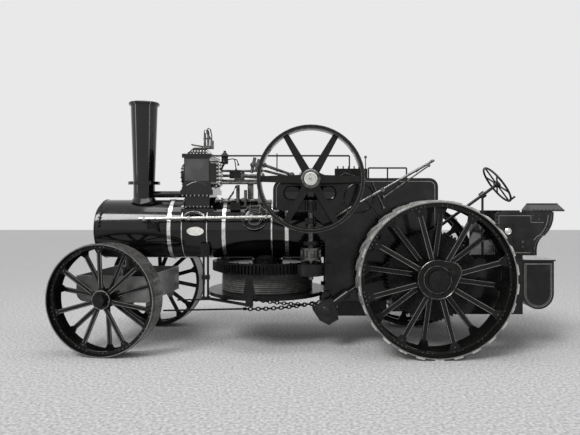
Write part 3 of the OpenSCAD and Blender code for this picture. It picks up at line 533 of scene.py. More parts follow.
# Oil pot beside the cylinders. A turned iron pot with a lid, from which two bent pipes lead drops
# down to the slide bars. It shares its black finish with the other lubricators.
OIL_Y = -0.31
wear(black_iron, "lubricators")
oil = bmesh.new()
pot = Matrix.Translation(at(-2.788, OIL_Y, 0))
lathe(oil, [(0.047, 2.52), (0.052, 2.53), (0.047, 2.54), (0.047, 2.6), (0.053, 2.605), (0.053, 2.628),
            (0.04, 2.64), (0.018, 2.665), (0.018, 2.685), (0, 2.69)], pot, 24)
for x, z in ((-2.6, 2.5), (-2.63, 2.43)):
    path = [(-2.75, 2.56), (-2.68, 2.575), (x - 0.02, 2.56), (x, z)]
    tube(oil, [at(along, OIL_Y, height) for along, height in path], 0.007, 8)
    lathe(oil, [(0.012, -0.02), (0.014, 0), (0.008, 0.01)], Matrix.Translation(at(x, OIL_Y, z)), 8)
piece("oil_pot", oil, black_iron)

# Motion on the near side. Forged and machined rods and pins between the block and the crankshaft, in
# a cast guide bolted to the boiler. They are placed by pixels of the photograph: points and a radius.
MOTION_Y = -0.3
wear(bright_steel, "motion_bars")
wear(black_iron, "control_rods")


def seen(px, py, y):
    """The point that the photograph shows at a pixel, at the given distance from the middle."""
    per_metre = FOCAL_PX / (y - CAMERA_PLACE[1])
    return at(CAMERA_PLACE[0] + (px - AIM_PX[0]) / per_metre, y,
              CAMERA_PLACE[2] + (AIM_PX[1] - py) / per_metre)


MOTION = [
    ([(220, 183), (258, 183)], 0.02),
    ([(241, 175.5), (262, 175.5)], 0.018),
    ([(251.5, 173), (255, 157.5)], 0.024),
    ([(255.5, 172), (259, 159)], 0.02),
    ([(264, 165), (292, 175)], 0.022),
    ([(238, 185), (238, 200), (238, 206)], 0.026),
    ([(245.5, 190), (245.5, 206)], 0.022),
    ([(228, 200), (233, 193), (236, 186)], 0.014),
    ([(277, 153.5), (277, 172)], 0.009),
]
motion = bmesh.new()
for pixels, radius in MOTION:
    tube(motion, [seen(px, py, MOTION_Y) for px, py in pixels], radius, 10)
for px, py in ((241, 175.5), (262, 175.5), (253, 165), (257, 165), (264, 165), (292, 175)):
    lathe(motion, [(0.034, -0.03), (0.038, -0.024), (0.038, 0.024), (0.034, 0.03), (0.012, 0.03),
                   (0.012, 0.045), (0, 0.047)], facing(seen(px, py, MOTION_Y), NEAR), 20)
piece("near_motion", motion, bright_steel)
guide = bmesh.new()
low = seen(230, 178.5, MOTION_Y)
high = seen(241, 170.5, MOTION_Y)
box(guide, (low.x, -0.36, low.z), (high.x, -0.24, high.z), Matrix.Identity(4))
for px, py in ((232, 172.5), (239, 172.5), (232, 176.5), (239, 176.5)):
    place = seen(px, py, MOTION_Y)
    bolt(guide, Vector((place.x, -0.36, place.z)), NEAR, 0.011)
foot = on_boiler(-2.62, 60, BOILER_R)
box(guide, (foot.x - 0.09, -0.36, 1.86), (foot.x + 0.05, -0.2, 1.965), Matrix.Identity(4))
piece("motion_guide", guide, black_iron)

# Hornplates, the steel side plates that carry the shafts. They are cut from plate, riveted and bolted
# to the firebox, with stays between them, and painted black with a thin pale line.
HORN_Y = -0.476
LINE_INSET = 0.045
HORN_CORNER = (-2.105, 2.3)
CORNER_R = 0.16
BACK_CORNER_X = 0.03
BACK_CORNER_R = 0.12
CRANK = (-1.59, 2.27)
BEARING_Y = -0.7
CASING_Y = -0.69
CASING = {"x0": -1.857, "x1": -1.343, "z": 2.093, "radius": 0.093}
# Workshop black over plate: a little lighter than the boiler, with softer gloss and slow waves
engine_paint = finish("engine paint", "#141414", "#242424", 220, (0.12, 0.3), coat=0.3, shine=0.15,
                      bump_mm=0.25, grain_mm=80)
wear(engine_paint, "hornplate_left", "hornplate_right", "gear_guard", "shaft_brackets")
wear(black_iron, "cross_stays")
# Lining paint, drawn with a brush: a plain pale grey with little gloss. On the wheels the same grey
# also draws painted highlights along the spokes' edges, round the rims' edges and round the front hubs.
lining_and_highlights = finish("lining paint", "#8E8E8C", "#757574", 80, (0.3, 0.5), coat=0.3)


def both_sides(mesh):
    """Adds the mirror image of what is drawn, on the engine's other side."""
    copies = bmesh.ops.duplicate(mesh, geom=mesh.verts[:] + mesh.edges[:] + mesh.faces[:])["geom"]
    for vert in [item for item in copies if isinstance(item, bmesh.types.BMVert)]:
        vert.co.y = -vert.co.y
    bmesh.ops.reverse_faces(mesh, faces=[item for item in copies if isinstance(item, bmesh.types.BMFace)])


def ribbon(mesh, points, normal, width):
    """Adds a flat strip along points, lying square to the normal."""
    edges = []
    for k, point in enumerate(points):
        run = (points[min(k + 1, len(points) - 1)] - points[max(k - 1, 0)]).normalized()
        side = run.cross(normal).normalized() * width / 2
        edges.append((mesh.verts.new(point - side), mesh.verts.new(point + side)))
    for (a, b), (c, d) in zip(edges, edges[1:]):
        mesh.faces.new([a, b, d, c])


def corner(cx, cz, radius, start, end, count=8):
    """Points of an arc in the side view, counted as at() does."""
    turn = [math.radians(start + (end - start) * k / count) for k in range(count + 1)]
    return [(cx + radius * math.cos(a), cz + radius * math.sin(a)) for a in turn]


def flat_line(mesh, points, y, width):
    """A painted line in the side view, just off the surface at y."""
    ribbon(mesh, [at(x, y, z) for x, z in points], NEAR, width)


lines = bmesh.new()
edge_line = [(HORN_CORNER[0] + LINE_INSET, 1.9)]
edge_line += corner(HORN_CORNER[0] + CORNER_R, HORN_CORNER[1] - CORNER_R, CORNER_R - LINE_INSET, 180, 90)
edge_line += [(BACK_CORNER_X, HORN_CORNER[1] - LINE_INSET)]
edge_line += corner(BACK_CORNER_X, HORN_CORNER[1] - BACK_CORNER_R, BACK_CORNER_R - LINE_INSET, 90, 0)
flat_line(lines, edge_line + [(0.105, 1.35)], HORN_Y, 0.007)
for inset, width in ((0.022, 0.006), (0.034, 0.003)):
    oval_line = corner(CASING["x0"], CASING["z"], CASING["radius"] - inset, 90, 270, 10)
    oval_line += corner(CASING["x1"], CASING["z"], CASING["radius"] - inset, 270, 450, 10)
    flat_line(lines, oval_line + oval_line[:1], CASING_Y - 0.0008, width)
both_sides(lines)
piece("hornplate_lines", lines, lining_and_highlights, smooth=False)
heads = bmesh.new()
for k in range(26):
    rivet(heads, at(-1.9 + 0.075 * k, HORN_Y + 0.001, 2.285), NEAR, 0.008)
for k in range(9):
    rivet(heads, at(-1.375, HORN_Y + 0.001, 0.7 + 0.11 * k), NEAR, 0.01)
for k in range(12):
    rivet(heads, at(-1.35 + 0.09 * k, HORN_Y + 0.001, 1.5), NEAR, 0.01)
for x, z in ((-0.55, 2.05), (-0.4, 1.9), (-0.7, 1.75), (-1.15, 1.95), (-1.2, 1.75), (-0.2, 1.6),
             (-0.9, 1.25)):
    bolt(heads, at(x, HORN_Y + 0.001, z), NEAR, 0.02)
for k in range(8):
    angle = math.tau * (k + 0.5) / 8
    x, z = CRANK[0] + 0.132 * math.cos(angle), CRANK[1] + 0.132 * math.sin(angle)
    bolt(heads, at(x, BEARING_Y, z), NEAR, 0.012)
for x in (-1.9, -1.8, -1.38, -1.28):
    for z in (2.025, 2.16):
        rivet(heads, at(x, CASING_Y, z), NEAR, 0.01)
both_sides(heads)
piece("hornplate_fastenings", heads, engine_paint)
ribs = bmesh.new()
for arc, radius, closed in ((corner(-0.93, 2.03, 0.2, 0, 360, 36)[:-1], 0.012, True),
                            (corner(-1.05, 1.62, 0.42, 70, -60, 18), 0.014, False)):
    tube(ribs, [at(x, HORN_Y - 0.002, z) for x, z in arc], radius, 8, closed=closed)
piece("hornplate_ribs", ribs, engine_paint)

# Levers ahead of the footplate. Forged steel rods with round eyes, pinned to the near hornplate.
# They are placed as the motion is, each by pixel points, its distance from the middle and a radius.
wear(bright_steel, "reversing_lever")
LEVERS = [
    ([(384, 197), (429, 165.5)], -0.56, 0.011),
    ([(416, 172), (432, 160)], -0.54, 0.009),
    ([(372, 182), (384, 208)], -0.53, 0.009),
    ([(365.5, 157), (365.5, 178)], -0.46, 0.007),
    ([(331, 181), (345, 173), (366, 180)], -0.5, 0.01),
]
levers = bmesh.new()
for pixels, y, radius in LEVERS:
    tube(levers, [seen(px, py, y) for px, py in pixels], radius, 10)
for px, py, y in ((384, 197, -0.56), (429, 165.5, -0.56), (384, 208, -0.53), (365.5, 157, -0.46)):
    lathe(levers, [(0, -0.02), (0.017, -0.012), (0.021, 0), (0.017, 0.012), (0, 0.02)],
          facing(seen(px, py, y), NEAR), 12)
piece("levers", levers, bright_steel)

# Casing of the bevel wheels. A cast oblong cover with a swelling front, painted and polished as the
# boiler is. The front stays 8 mm clear of the flywheel.
FLYWHEEL_GAP = 0.008
DOME_COLUMNS = 48
DOME_ROWS = 12
face_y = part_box("shaft_brackets")[0].y + 0.01
swell = min(0.034, face_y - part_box("flywheel")[1].y - FLYWHEEL_GAP)
length = CASING["x1"] - CASING["x0"] + 2 * CASING["radius"]
dome = bmesh.new()
columns = []
for i in range(DOME_COLUMNS + 1):
    x = CASING["x0"] - CASING["radius"] + length * i / DOME_COLUMNS
    past_end = max(CASING["x0"] - x, x - CASING["x1"], 0) / CASING["radius"]
    half = math.sqrt(max(0, 1 - past_end ** 2))
    column = []
    for j in range(DOME_ROWS + 1):
        angle = math.pi * (j / DOME_ROWS - 0.5)
        z = CASING["z"] + CASING["radius"] * half * math.sin(angle)
        column.append(dome.verts.new(at(x, face_y - swell * half * math.cos(angle), z)))
    columns.append(column)
for first, second in zip(columns, columns[1:]):
    for j in range(DOME_ROWS):
        dome.faces.new([first[j], second[j], second[j + 1], first[j + 1]])
piece("casing_dome", dome, boiler_paint)

# Flywheel and crankshaft. A cast wheel of six flat spokes, with turned rings round its rim and a
# bright cap on the end of the polished shaft. The upright shaft takes the drive down to the drum.
BOSS_Y = -1.04


def wheel_enamel(name):
    """Brushed black enamel of the wheels: deep, with soft highlights and no sharp mirror."""
    return finish(name, "#111110", "#191918", 140, (0.14, 0.28), coat=0.1, shine=0.2, bump_mm=0.2,
                  grain_mm=60)


wheel_paint = wheel_enamel("wheel paint")
wear(wheel_paint, "flywheel")
wear(polished_steel, "crankshaft")
wear(bright_steel, "vertical_shaft")
boss = bmesh.new()
boss_face = facing(at(CRANK[0], BOSS_Y, CRANK[1]), NEAR)
lathe(boss, [(0.118, -0.002), (0.122, 0.004), (0.112, 0.012), (0.078, 0.014), (0.074, 0.006)],
      boss_face, 48)
for inside in (0.645, 0.682):
    lathe(boss, [(inside, -0.021), (inside, -0.019), (inside + 0.005, -0.019), (inside + 0.005, -0.021)],
          boss_face, 128)
piece("flywheel_boss", boss, bright_steel, "crankshaft")
cap = bmesh.new()
lathe(cap, [(0.082, 0), (0.084, 0.012), (0.08, 0.016), (0, 0.017)], boss_face, 48)
piece("crank_cap", cap, plate_metal, "crankshaft")

# Winding drum with its wire rope. The rope lies in layers on the cast drum, and they stand in for the
# plain ring of the frame. Their turns are drawn 26 mm apart, coarser than real, so that they show.
ROPE_D = 0.026
DRUM_R = 0.505
# Wire rope, greased and dusty: a dull dark grey that shows its turns by their shape
wire_rope = finish("wire rope", "#3A3938", "#525150", 60, (0.4, 0.6), bump_mm=0.2)
drum_low, drum_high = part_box("wound_rope")
drum_middle = (drum_low + drum_high) / 2
rope_r = (drum_high.x - drum_low.x) / 2
turns = round((drum_high.z - drum_low.z) / ROPE_D)
pitch = (drum_high.z - drum_low.z) / turns
profile = [(DRUM_R, drum_low.z + 0.001)]
for k in range(turns):
    uneven = 0.0015 * math.sin(2.4 * k)
    for angle in (-60, -20, 20, 60):
        lift = math.radians(angle)
        profile.append((rope_r - pitch / 2 + pitch / 2 * math.cos(lift) + uneven,
                        drum_low.z + pitch * (k + 0.5) + pitch / 2 * math.sin(lift)))
profile.append((DRUM_R, drum_high.z - 0.001))
rope = bmesh.new()
lathe(rope, profile, Matrix.Translation((drum_middle.x, drum_middle.y, 0)), 160)
rope_piece = piece("rope_layers", rope, wire_rope, "winding_drum")
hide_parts("wound_rope")

# Nuts of the drum and of the rope guide. They hold the ring gear and the lower flange to the cast
# drum, which turns on its stud, and the guide's near plate to its arm.
# Greasy cast iron of gears: nearly black, with a broken, half metallic gloss
gear_iron = finish("greasy gear iron", "#0C0C0C", "#1C1B1A", 50, (0.22, 0.45), metal=0.3, shine=0.25,
                   bump_mm=0.5)
wear(gear_iron, "winding_drum")
wear(black_iron, "drum_pinion", "drum_stud", "rope_guide")
drum_nuts = bmesh.new()
for k in range(24):
    angle = math.tau * k / 24
    out = Vector((math.cos(angle), math.sin(angle), 0))
    bolt(drum_nuts, Vector((drum_middle.x, 0, 1.15)) + 0.715 * out, UP, 0.012)
    bolt(drum_nuts, Vector((drum_middle.x, 0, 0.68)) + 0.78 * out, (0, 0, -1), 0.012)
piece("drum_nuts", drum_nuts, gear_iron, "winding_drum")
guide_nuts = bmesh.new()
for x, z in ((-2.43, 0.75), (-2.34, 0.75), (-2.385, 0.94)):
    bolt(guide_nuts, at(x, -0.9, z), NEAR, 0.013)
piece("guide_nuts", guide_nuts, black_iron)

# Steering chains. Long forged rods ahead and open welded links behind, which sag a little on their way
# up to the chain barrel. They stand in for the chains of the frame.
LINK = 0.052
LINK_HALF_WIDTH = 0.022
LINK_POINTS = 12
CHAIN_R = 0.0095
CHAIN_SAG = 0.035
CHAIN_ROD = [(-3.62, 0.415, 0.48), (-2.5, 0.402, 0.5)]
CHAIN_ENDS = [(-1, -1.386, 0.61), (1, -1.386, 0.426)]
wear(black_iron, "chain_barrel")


def link(mesh, middle, run, turned):
    """One open link: an oval ring along the run, every second one turned a quarter."""
    side = run.cross(UP).normalized()
    flat = side.cross(run) if turned else side
    ring = []
    for k in range(LINK_POINTS):
        angle = math.tau * k / LINK_POINTS
        reach = 0.5 * (LINK + 1.6 * CHAIN_R) * math.cos(angle)
        ring.append(middle + run * reach + flat * (LINK_HALF_WIDTH * math.sin(angle)))
    tube(mesh, ring, CHAIN_R, 6, closed=True)


chain = bmesh.new()
for sign, drum_x, drum_z in CHAIN_ENDS:
    front, back = [at(x, y * sign, z) for x, y, z in CHAIN_ROD]
    tube(chain, [front, back], 0.012, 10)
    lathe(chain, [(0, -0.03), (0.022, -0.02), (0.022, 0.02), (0, 0.03)], facing(back, back - front), 10)
    run = at(drum_x, 0.39 * sign, drum_z) - back
    count = int(run.length / LINK)
    for k in range(count):
        share = (k + 0.5) / count
        middle = back + run * share - UP * (4 * CHAIN_SAG * share * (1 - share))
        slope = (run - UP * (4 * CHAIN_SAG * (1 - 2 * share))).normalized()
        link(chain, middle, slope, k % 2)
chain_piece = piece("chain_links", chain, gear_iron)
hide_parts("steering_chains")

# Steering gear. A worm in a painted case behind a flat shield with a rounded rim, held by screws, and
# a forged hand wheel at the top of its column.
SHIELD_Y = -0.662
WORM = (-1.386, 0.518)
wear(engine_paint, "worm_case")
wear(black_iron, "steering_wheel")
SHIELD = [(-1.573, 0.571), (-1.32, 0.692), (-1.226, 0.531), (-1.226, 0.411), (-1.346, 0.338),
          (-1.466, 0.398), (-1.56, 0.545)]
shield = bmesh.new()
tube(shield, [at(x, SHIELD_Y, z) for x, z in SHIELD], 0.008, 8, closed=True)
middle = at(WORM[0], SHIELD_Y, WORM[1])
for x, z in SHIELD:
    bolt(shield, middle + 0.84 * (at(x, SHIELD_Y, z) - middle), NEAR, 0.009)
lathe(shield, [(0.06, -0.01), (0.06, 0.012), (0.05, 0.018), (0, 0.02)], facing(middle, NEAR), 32)
piece("shield_rim", shield, boiler_paint)

# Tender. Steel plates with a curved back edge, riveted to angles inside, with pale lining and a square
# recess that holds a round brass fitting. The water tank hangs below it.
TENDER_Y = -0.626
wear(engine_paint, "tender_body", "water_tank")
tender_lines = bmesh.new()
S_CURVE = corner(1.29, 1.8, 0.375, 0, -48, 10) + corner(1.688, 1.33, 0.25, 130, 180, 8)
for path in ([(x - 0.075, z) for x, z in S_CURVE[:15]], [(0.93, 1.3), (0.93, 1.79), (1.36, 1.79)],
             [(1.36, 1.79), (1.36, 1.7), (1.53, 1.7)]):
    flat_line(tender_lines, path, TENDER_Y, 0.006)
both_sides(tender_lines)
piece("tender_lines", tender_lines, lining_and_highlights, smooth=False)
tender_heads = bmesh.new()
for x, z in S_CURVE:
    rivet(tender_heads, at(x - 0.035, TENDER_Y + 0.001, z), NEAR, 0.011)
for k in range(10):
    rivet(tender_heads, at(0.95 + 0.05 * k, TENDER_Y + 0.001, 1.29), NEAR, 0.009)
    rivet(tender_heads, at(0.9, TENDER_Y + 0.001, 1.32 + 0.052 * k), NEAR, 0.009)
for x in (1.38, 1.46):
    for z in (1.74, 1.79):
        bolt(tender_heads, at(x, TENDER_Y + 0.001, z), NEAR, 0.013)
for x, z in ((1.24, 1.44), (1.24, 1.37)):
    bolt(tender_heads, at(x, TENDER_Y + 0.001, z), NEAR, 0.02)
both_sides(tender_heads)
piece("tender_fastenings", tender_heads, bright_steel)
recess = bmesh.new()
for x0, z0, x1, z1 in ((0.9, 1.665, 1.13, 1.677), (0.9, 1.44, 1.13, 1.452), (1.118, 1.44, 1.13, 1.677)):
    box(recess, (x0, TENDER_Y - 0.008, z0), (x1, TENDER_Y + 0.002, z1))
piece("recess_frame", recess, engine_paint)
fitting = bmesh.new()
lathe(fitting, [(0.045, 0), (0.045, 0.012), (0.036, 0.018), (0.03, 0.012), (0, 0.016)],
      facing(at(1.05, TENDER_Y, 1.58), NEAR), 32)
piece("round_fitting", fitting, brass)

# Locker behind the tender. A trough of folded steel sheet with a beaded edge and a flat lid, bolted to
# the back of the water tank, painted and lined as the tender is.
LOCKER_TOP = 1.16
LOCKER_BASE = (1.46, 0.745)
LOCKER_R = 0.21
wear(engine_paint, "rear_locker", "locker_lid")
locker = bmesh.new()
for inset, width in ((0.03, 0.006), (0.048, 0.003)):
    top_left = (1.25 + inset, LOCKER_TOP - inset / 2)
    trough = [top_left, (top_left[0], LOCKER_BASE[1])]
    trough += corner(*LOCKER_BASE, LOCKER_R - inset, 180, 360, 16)
    trough += [(1.67 - inset, top_left[1]), top_left]
    flat_line(locker, trough, -0.6208, width)
both_sides(locker)
piece("locker_lines", locker, lining_and_highlights, smooth=False)
locker_edge = bmesh.new()
path = [(1.256, 1.17), (1.256, 0.745)] + corner(*LOCKER_BASE, 0.204, 180, 360, 16) + [(1.664, 1.17)]
tube(locker_edge, [at(x, -0.62, z) for x, z in path], 0.006, 8)
tube(locker_edge, [at(1.25, -0.634, 1.19), at(1.684, -0.634, 1.19)], 0.01, 8)
both_sides(locker_edge)
piece("locker_edge", locker_edge, engine_paint)

# Step bar behind the wheel, bent from bright round bar and riveted to the tender, and the toolbox's
# lid. The lid is a steel sheet on a long hinge, with a bead along each edge and a row of rivets.
wear(engine_paint, "toolbox_lid")
step = bmesh.new()
tube(step, [at(x, y, 1.3) for x, y in ((1.12, -0.62), (1.12, -0.68), (1.33, -0.68), (1.33, -0.62))],
     0.012, 8)
piece("step_bar", step, bright_steel)
lid = bmesh.new()
for y, z, radius in ((-0.622, 1.857, 0.009), (-0.41, 1.947, 0.008)):
    tube(lid, [at(1.38, y, z), at(1.808, y, z)], radius, 8)
for k in range(8):
    rivet(lid, at(1.41 + 0.053 * k, -0.6, 1.8745), (0, -0.36, 0.93), 0.008)
piece("lid_beads", lid, engine_paint, "toolbox_lid")

# Small cast fixings of black iron: the shoe that bolts the drawbar to the locker's back, and the two
# feet that join the lugs of the smokebox door's hinge to the smokebox.
wear(black_iron, "drawbar")
shoe = bmesh.new()
box(shoe, (1.652, -0.1, 0.64), (1.682, 0.1, 0.75))
for y in (-0.08, 0.08):
    for z in (0.66, 0.73):
        bolt(shoe, at(1.682, y, z), (1, 0, 0), 0.014)
piece("drawbar_shoe", shoe, black_iron)
feet = bmesh.new()
for z in (1.388, 1.762):
    box(feet, (-4.58, 0.362, z), (-4.5, 0.404, z + 0.026))
    bolt(feet, at(-4.525, 0.404, z + 0.013), (0, 1, 0), 0.009)
piece("hinge_feet", feet, black_iron)

# Wheels. Cast hubs, two rings of flat steel spokes and rims of rolled plate, riveted together and
# enamelled, with pale lines that are partly lining and partly painted highlights. The rear treads carry
# straks worn bright, and their light grey is partly a painted reflection; the front ones are smooth.
WHEELBASE = 4.14
FRONT_TURN = math.radians(-7)
LINE_IN = 0.009
LINE_OFF = 0.0006
wear(wheel_paint, "rear_hub_left", "rear_hub_right", "front_hub_left", "front_hub_right")
wear(black_iron, "rear_axle", "front_axle", "perch_bracket")
# A wheel's own frame has +Z out of its outer face, from the tread's inner edge on. The turns are the
# angles of the first spoke of each ring, foot is the width of a spoke's foot, foot_r where it starts,
# low_z the face of the inner ring, edge_r the pale ring at the rim's edge, which is a painted highlight,
# and tread the steel's two greys, which on the rear wheels are light partly as a painted reflection.
REAR = {"radius": 1.0, "inner_y": 0.7, "width": 0.5, "web_in": 0.09, "web_t": 0.016, "web_r": 0.912,
        "spokes": 8, "outer_turn": 14.8, "inner_turn": 37.3, "hub_r": 0.25, "spoke_w": 0.072,
        "foot": 0.2, "foot_r": 0.82, "low_z": 0.122, "edge_r": 0.972, "tread_r": 0.979,
        "tread": ("#8B8A88", "#C9C8C5")}
FRONT = {"radius": 0.725, "inner_y": 0.755, "width": 0.32, "web_in": 0.055, "web_t": 0.014,
         "web_r": 0.655, "spokes": 7, "outer_turn": 144.4, "inner_turn": 144.4 + 180 / 7, "hub_r": 0.13,
         "spoke_w": 0.06, "foot": 0.19, "foot_r": 0.6, "low_z": 0.083, "edge_r": 0.711, "tread_r": 0.716,
         "tread": ("#454443", "#6B6A68")}


def wheel_frame(wheel, side):
    """The matrix from a wheel's own frame to the engine's, the right wheel mirrored."""
    local = Matrix.Translation((0, -wheel["inner_y"], wheel["radius"]))
    local = local @ Matrix.Rotation(math.pi / 2, 4, "X")
    if side == "right":
        local = Matrix.Diagonal((1, -1, 1, 1)) @ local
    axle = Matrix.Translation(at(-WHEELBASE, 0, 0)) @ Matrix.Rotation(FRONT_TURN, 4, "Z")
    return (axle if wheel is FRONT else Matrix.Translation(at(0, 0, 0))) @ local


def two_tone(name, wheel, turn):
    """A wheel's rim: enamel inside, and steel scoured by the road from the tread's radius on."""
    painted = wheel_enamel(f"{name} paint")
    tree = painted.node_tree
    surface = tree.nodes["Principled BSDF"]
    place = add(tree, "ShaderNodeTexCoord").outputs["Object"]
    low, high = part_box(name)
    middle = (low + high) / 2
    local = add(tree, "ShaderNodeVectorMath", {"operation": "SUBTRACT"},
                {0: place, 1: (middle.x, middle.y, wheel["radius"])}).outputs[0]
    square = add(tree, "ShaderNodeVectorRotate", {"rotation_type": "Z_AXIS"},
                 {"Vector": local, "Angle": -turn}).outputs[0]
    flat = add(tree, "ShaderNodeVectorMath", {"operation": "MULTIPLY"},
               {0: square, 1: (1, 0, 1)}).outputs[0]
    reach = add(tree, "ShaderNodeVectorMath", {"operation": "LENGTH"}, {0: flat}).outputs["Value"]
    worn = add(tree, "ShaderNodeMapRange",
               inputs={"Value": reach, "From Min": wheel["tread_r"] - 0.002,
                       "From Max": wheel["tread_r"] + 0.002}).outputs[0]
    # The rear wheels' two greys are light partly as a painted reflection of the sky on the worn steel
    dull, rubbed = [rgb(shade) for shade in wheel["tread"]]
    steel = add(tree, "ShaderNodeMix", {"data_type": "RGBA"},
                {0: mottle(tree, place, 45, 6, 0.3, 0.7), 6: dull, 7: rubbed}).outputs[2]
    enamel = surface.inputs["Base Color"].links[0].from_socket
    both = add(tree, "ShaderNodeMix", {"data_type": "RGBA"}, {0: worn, 6: enamel, 7: steel})
    tree.links.new(both.outputs[2], surface.inputs["Base Color"])
    tree.links.new(add(tree, "ShaderNodeMath", {"operation": "MULTIPLY"}, {0: worn, 1: 0.25}).outputs[0],
                   surface.inputs["Metallic"])
    return painted


for side in ("left", "right"):
    for kind, wheel, turn in (("rear_rim", REAR, 0), ("front_rim", FRONT, FRONT_TURN)):
        name = f"{kind}_{side}"
        wear(two_tone(name, wheel, turn), name)


def wheel_trim(wheel, side, name):
    """Rivets of the webs and the spokes' feet, and pale lines, partly lining and partly painted highlights.
    """
    matrix = wheel_frame(wheel, side)
    out = (matrix.to_3x3() @ Vector((0, 0, 1))).normalized()
    heads = bmesh.new()
    lines = bmesh.new()
    web_z = wheel["width"] - wheel["web_in"]
    face_z = web_z - wheel["web_t"]
    rivet_r = wheel["web_r"] + 0.022
    step = 360 / wheel["spokes"]
    foot_turn = math.degrees(wheel["foot"] / wheel["web_r"]) / 2
    for k in range(wheel["spokes"]):
        turn = wheel["outer_turn"] + step * k
        for share in (-0.8, -0.3, 0.3, 0.8):
            rivet(heads, matrix @ around(rivet_r, turn + share * foot_turn, web_z), out, 0.012)
        rivet(heads, matrix @ around(wheel["web_r"] - 0.03, turn, face_z), out, 0.012)
        rivet(heads, matrix @ around(wheel["hub_r"] - 0.025, turn, face_z + 0.018), out, 0.012)
        inner = wheel["inner_turn"] + step * k
        for share in (-0.6, 0, 0.6):
            rivet(heads, matrix @ around(rivet_r, inner + share * foot_turn, web_z), out, 0.01)
        # Two pale lines along each spoke: lining, and also a painted highlight on the spoke's edges
        for angle, height in ((turn, face_z), (inner, wheel["low_z"])):
            spoke = matrix @ Matrix.Rotation(math.radians(angle), 4, "Z")
            reach = wheel["spoke_w"] / 2 - LINE_IN
            for offset in (-reach, reach):
                path = [spoke @ Vector((r, offset, height + LINE_OFF))
                        for r in (wheel["hub_r"] + 0.02, wheel["foot_r"])]
                ribbon(lines, path, out, 0.004)
    # A pale ring in the middle of the rim's edge: a painted highlight
    lathe(lines, [(wheel["edge_r"] - 0.003, wheel["width"] + LINE_OFF),
                  (wheel["edge_r"] + 0.003, wheel["width"] + LINE_OFF)], matrix, 96)
    # Two pale rings round each front hub: painted highlights
    if wheel is FRONT:
        for ring_r in (wheel["hub_r"] - 0.012, wheel["hub_r"] * 0.62):
            ring = [matrix @ around(ring_r, degrees, face_z + 0.012) for degrees in range(0, 360, 10)]
            tube(lines, ring, 0.004, 6, closed=True)
    body = f"{name}_wheel_{side}"
    piece(f"{body}_rivets", heads, bright_steel, body)
    piece(f"{body}_lines", lines, lining_and_highlights, body, smooth=False)


for side in ("left", "right"):
    wheel_trim(REAR, side, "rear")
    wheel_trim(FRONT, side, "front")

# Rear hubs. A cast driving plate with a lobe for the driving pin, held by nuts, and a cap over the
# axle's end. The plate is enamelled with the wheel, and its edge is rubbed bright.
LOBE = (0.176, 0.092)
LOBE_R = 0.13
DRIVE_PLATE_Z = 0.421


def rear_hub_trim(side):
    """The driving plate's bead, its nuts, the driving pin's head and the cap's rim."""
    hub_r = REAR["hub_r"]
    matrix = wheel_frame(REAR, side)
    out = (matrix.to_3x3() @ Vector((0, 0, 1))).normalized()
    trim = bmesh.new()
    lathe(trim, [(0.148, 0.44), (0.158, 0.446), (0.158, 0.452), (0.13, 0.452)], matrix, 48)
    for k in range(8):
        bolt(trim, matrix @ around(0.195, 110 + 36 * k, DRIVE_PLATE_Z), out, 0.013)
    pin = matrix @ Matrix.Translation((*LOBE, 0.468))
    lathe(trim, [(0.045, 0), (0.04, 0.008), (0.022, 0.01), (0.02, 0.026), (0, 0.03)], pin, 24)
    piece(f"rear_hub_trim_{side}", trim, wheel_paint, f"rear_wheel_{side}")
    edge = bmesh.new()
    reach = math.hypot(*LOBE)
    turn = math.degrees(math.acos((hub_r - LOBE_R) / reach))
    lean = math.degrees(math.atan2(LOBE[1], LOBE[0]))
    path = [around(hub_r - 0.006, lean + turn + (360 - 2 * turn) * k / 40, DRIVE_PLATE_Z)
            for k in range(41)]
    path += [Vector((*LOBE, 0)) + around(LOBE_R - 0.006, lean - turn + 2 * turn * k / 20, DRIVE_PLATE_Z)
             for k in range(21)]
    tube(edge, [matrix @ p for p in path], 0.006, 6, closed=True)
    lathe(edge, [(0.162, DRIVE_PLATE_Z), (0.166, DRIVE_PLATE_Z + 0.006), (0.174, DRIVE_PLATE_Z + 0.006),
                 (0.178, DRIVE_PLATE_Z)], matrix, 64)
    piece(f"rear_hub_edge_{side}", edge, bright_steel, f"rear_wheel_{side}")
    cap = bmesh.new()
    lathe(cap, [(0.118, 0.494), (0.118, 0.501), (0.1, 0.504), (0.098, 0.501), (0, 0.502)], matrix, 48)
    lathe(cap, [(0.02, 0.5), (0.018, 0.505), (0, 0.506)], matrix @ Matrix.Translation((0.04, 0.03, 0)), 6)
    piece(f"rear_cap_{side}", cap, black_iron)


for side in ("left", "right"):
    rear_hub_trim(side)

# Driving gears on the inner side of the rear wheels. A cast ring of teeth on a plain web, bolted to
# each wheel and greasy from its pinion behind the hornplate.
GEAR_TEETH = 72
GEAR_R = 0.6
GEAR_Z = (0.008, 0.058)
TOOTH_ROOT_R = GEAR_R - 0.026
RING_INNER_R = GEAR_R - 0.11


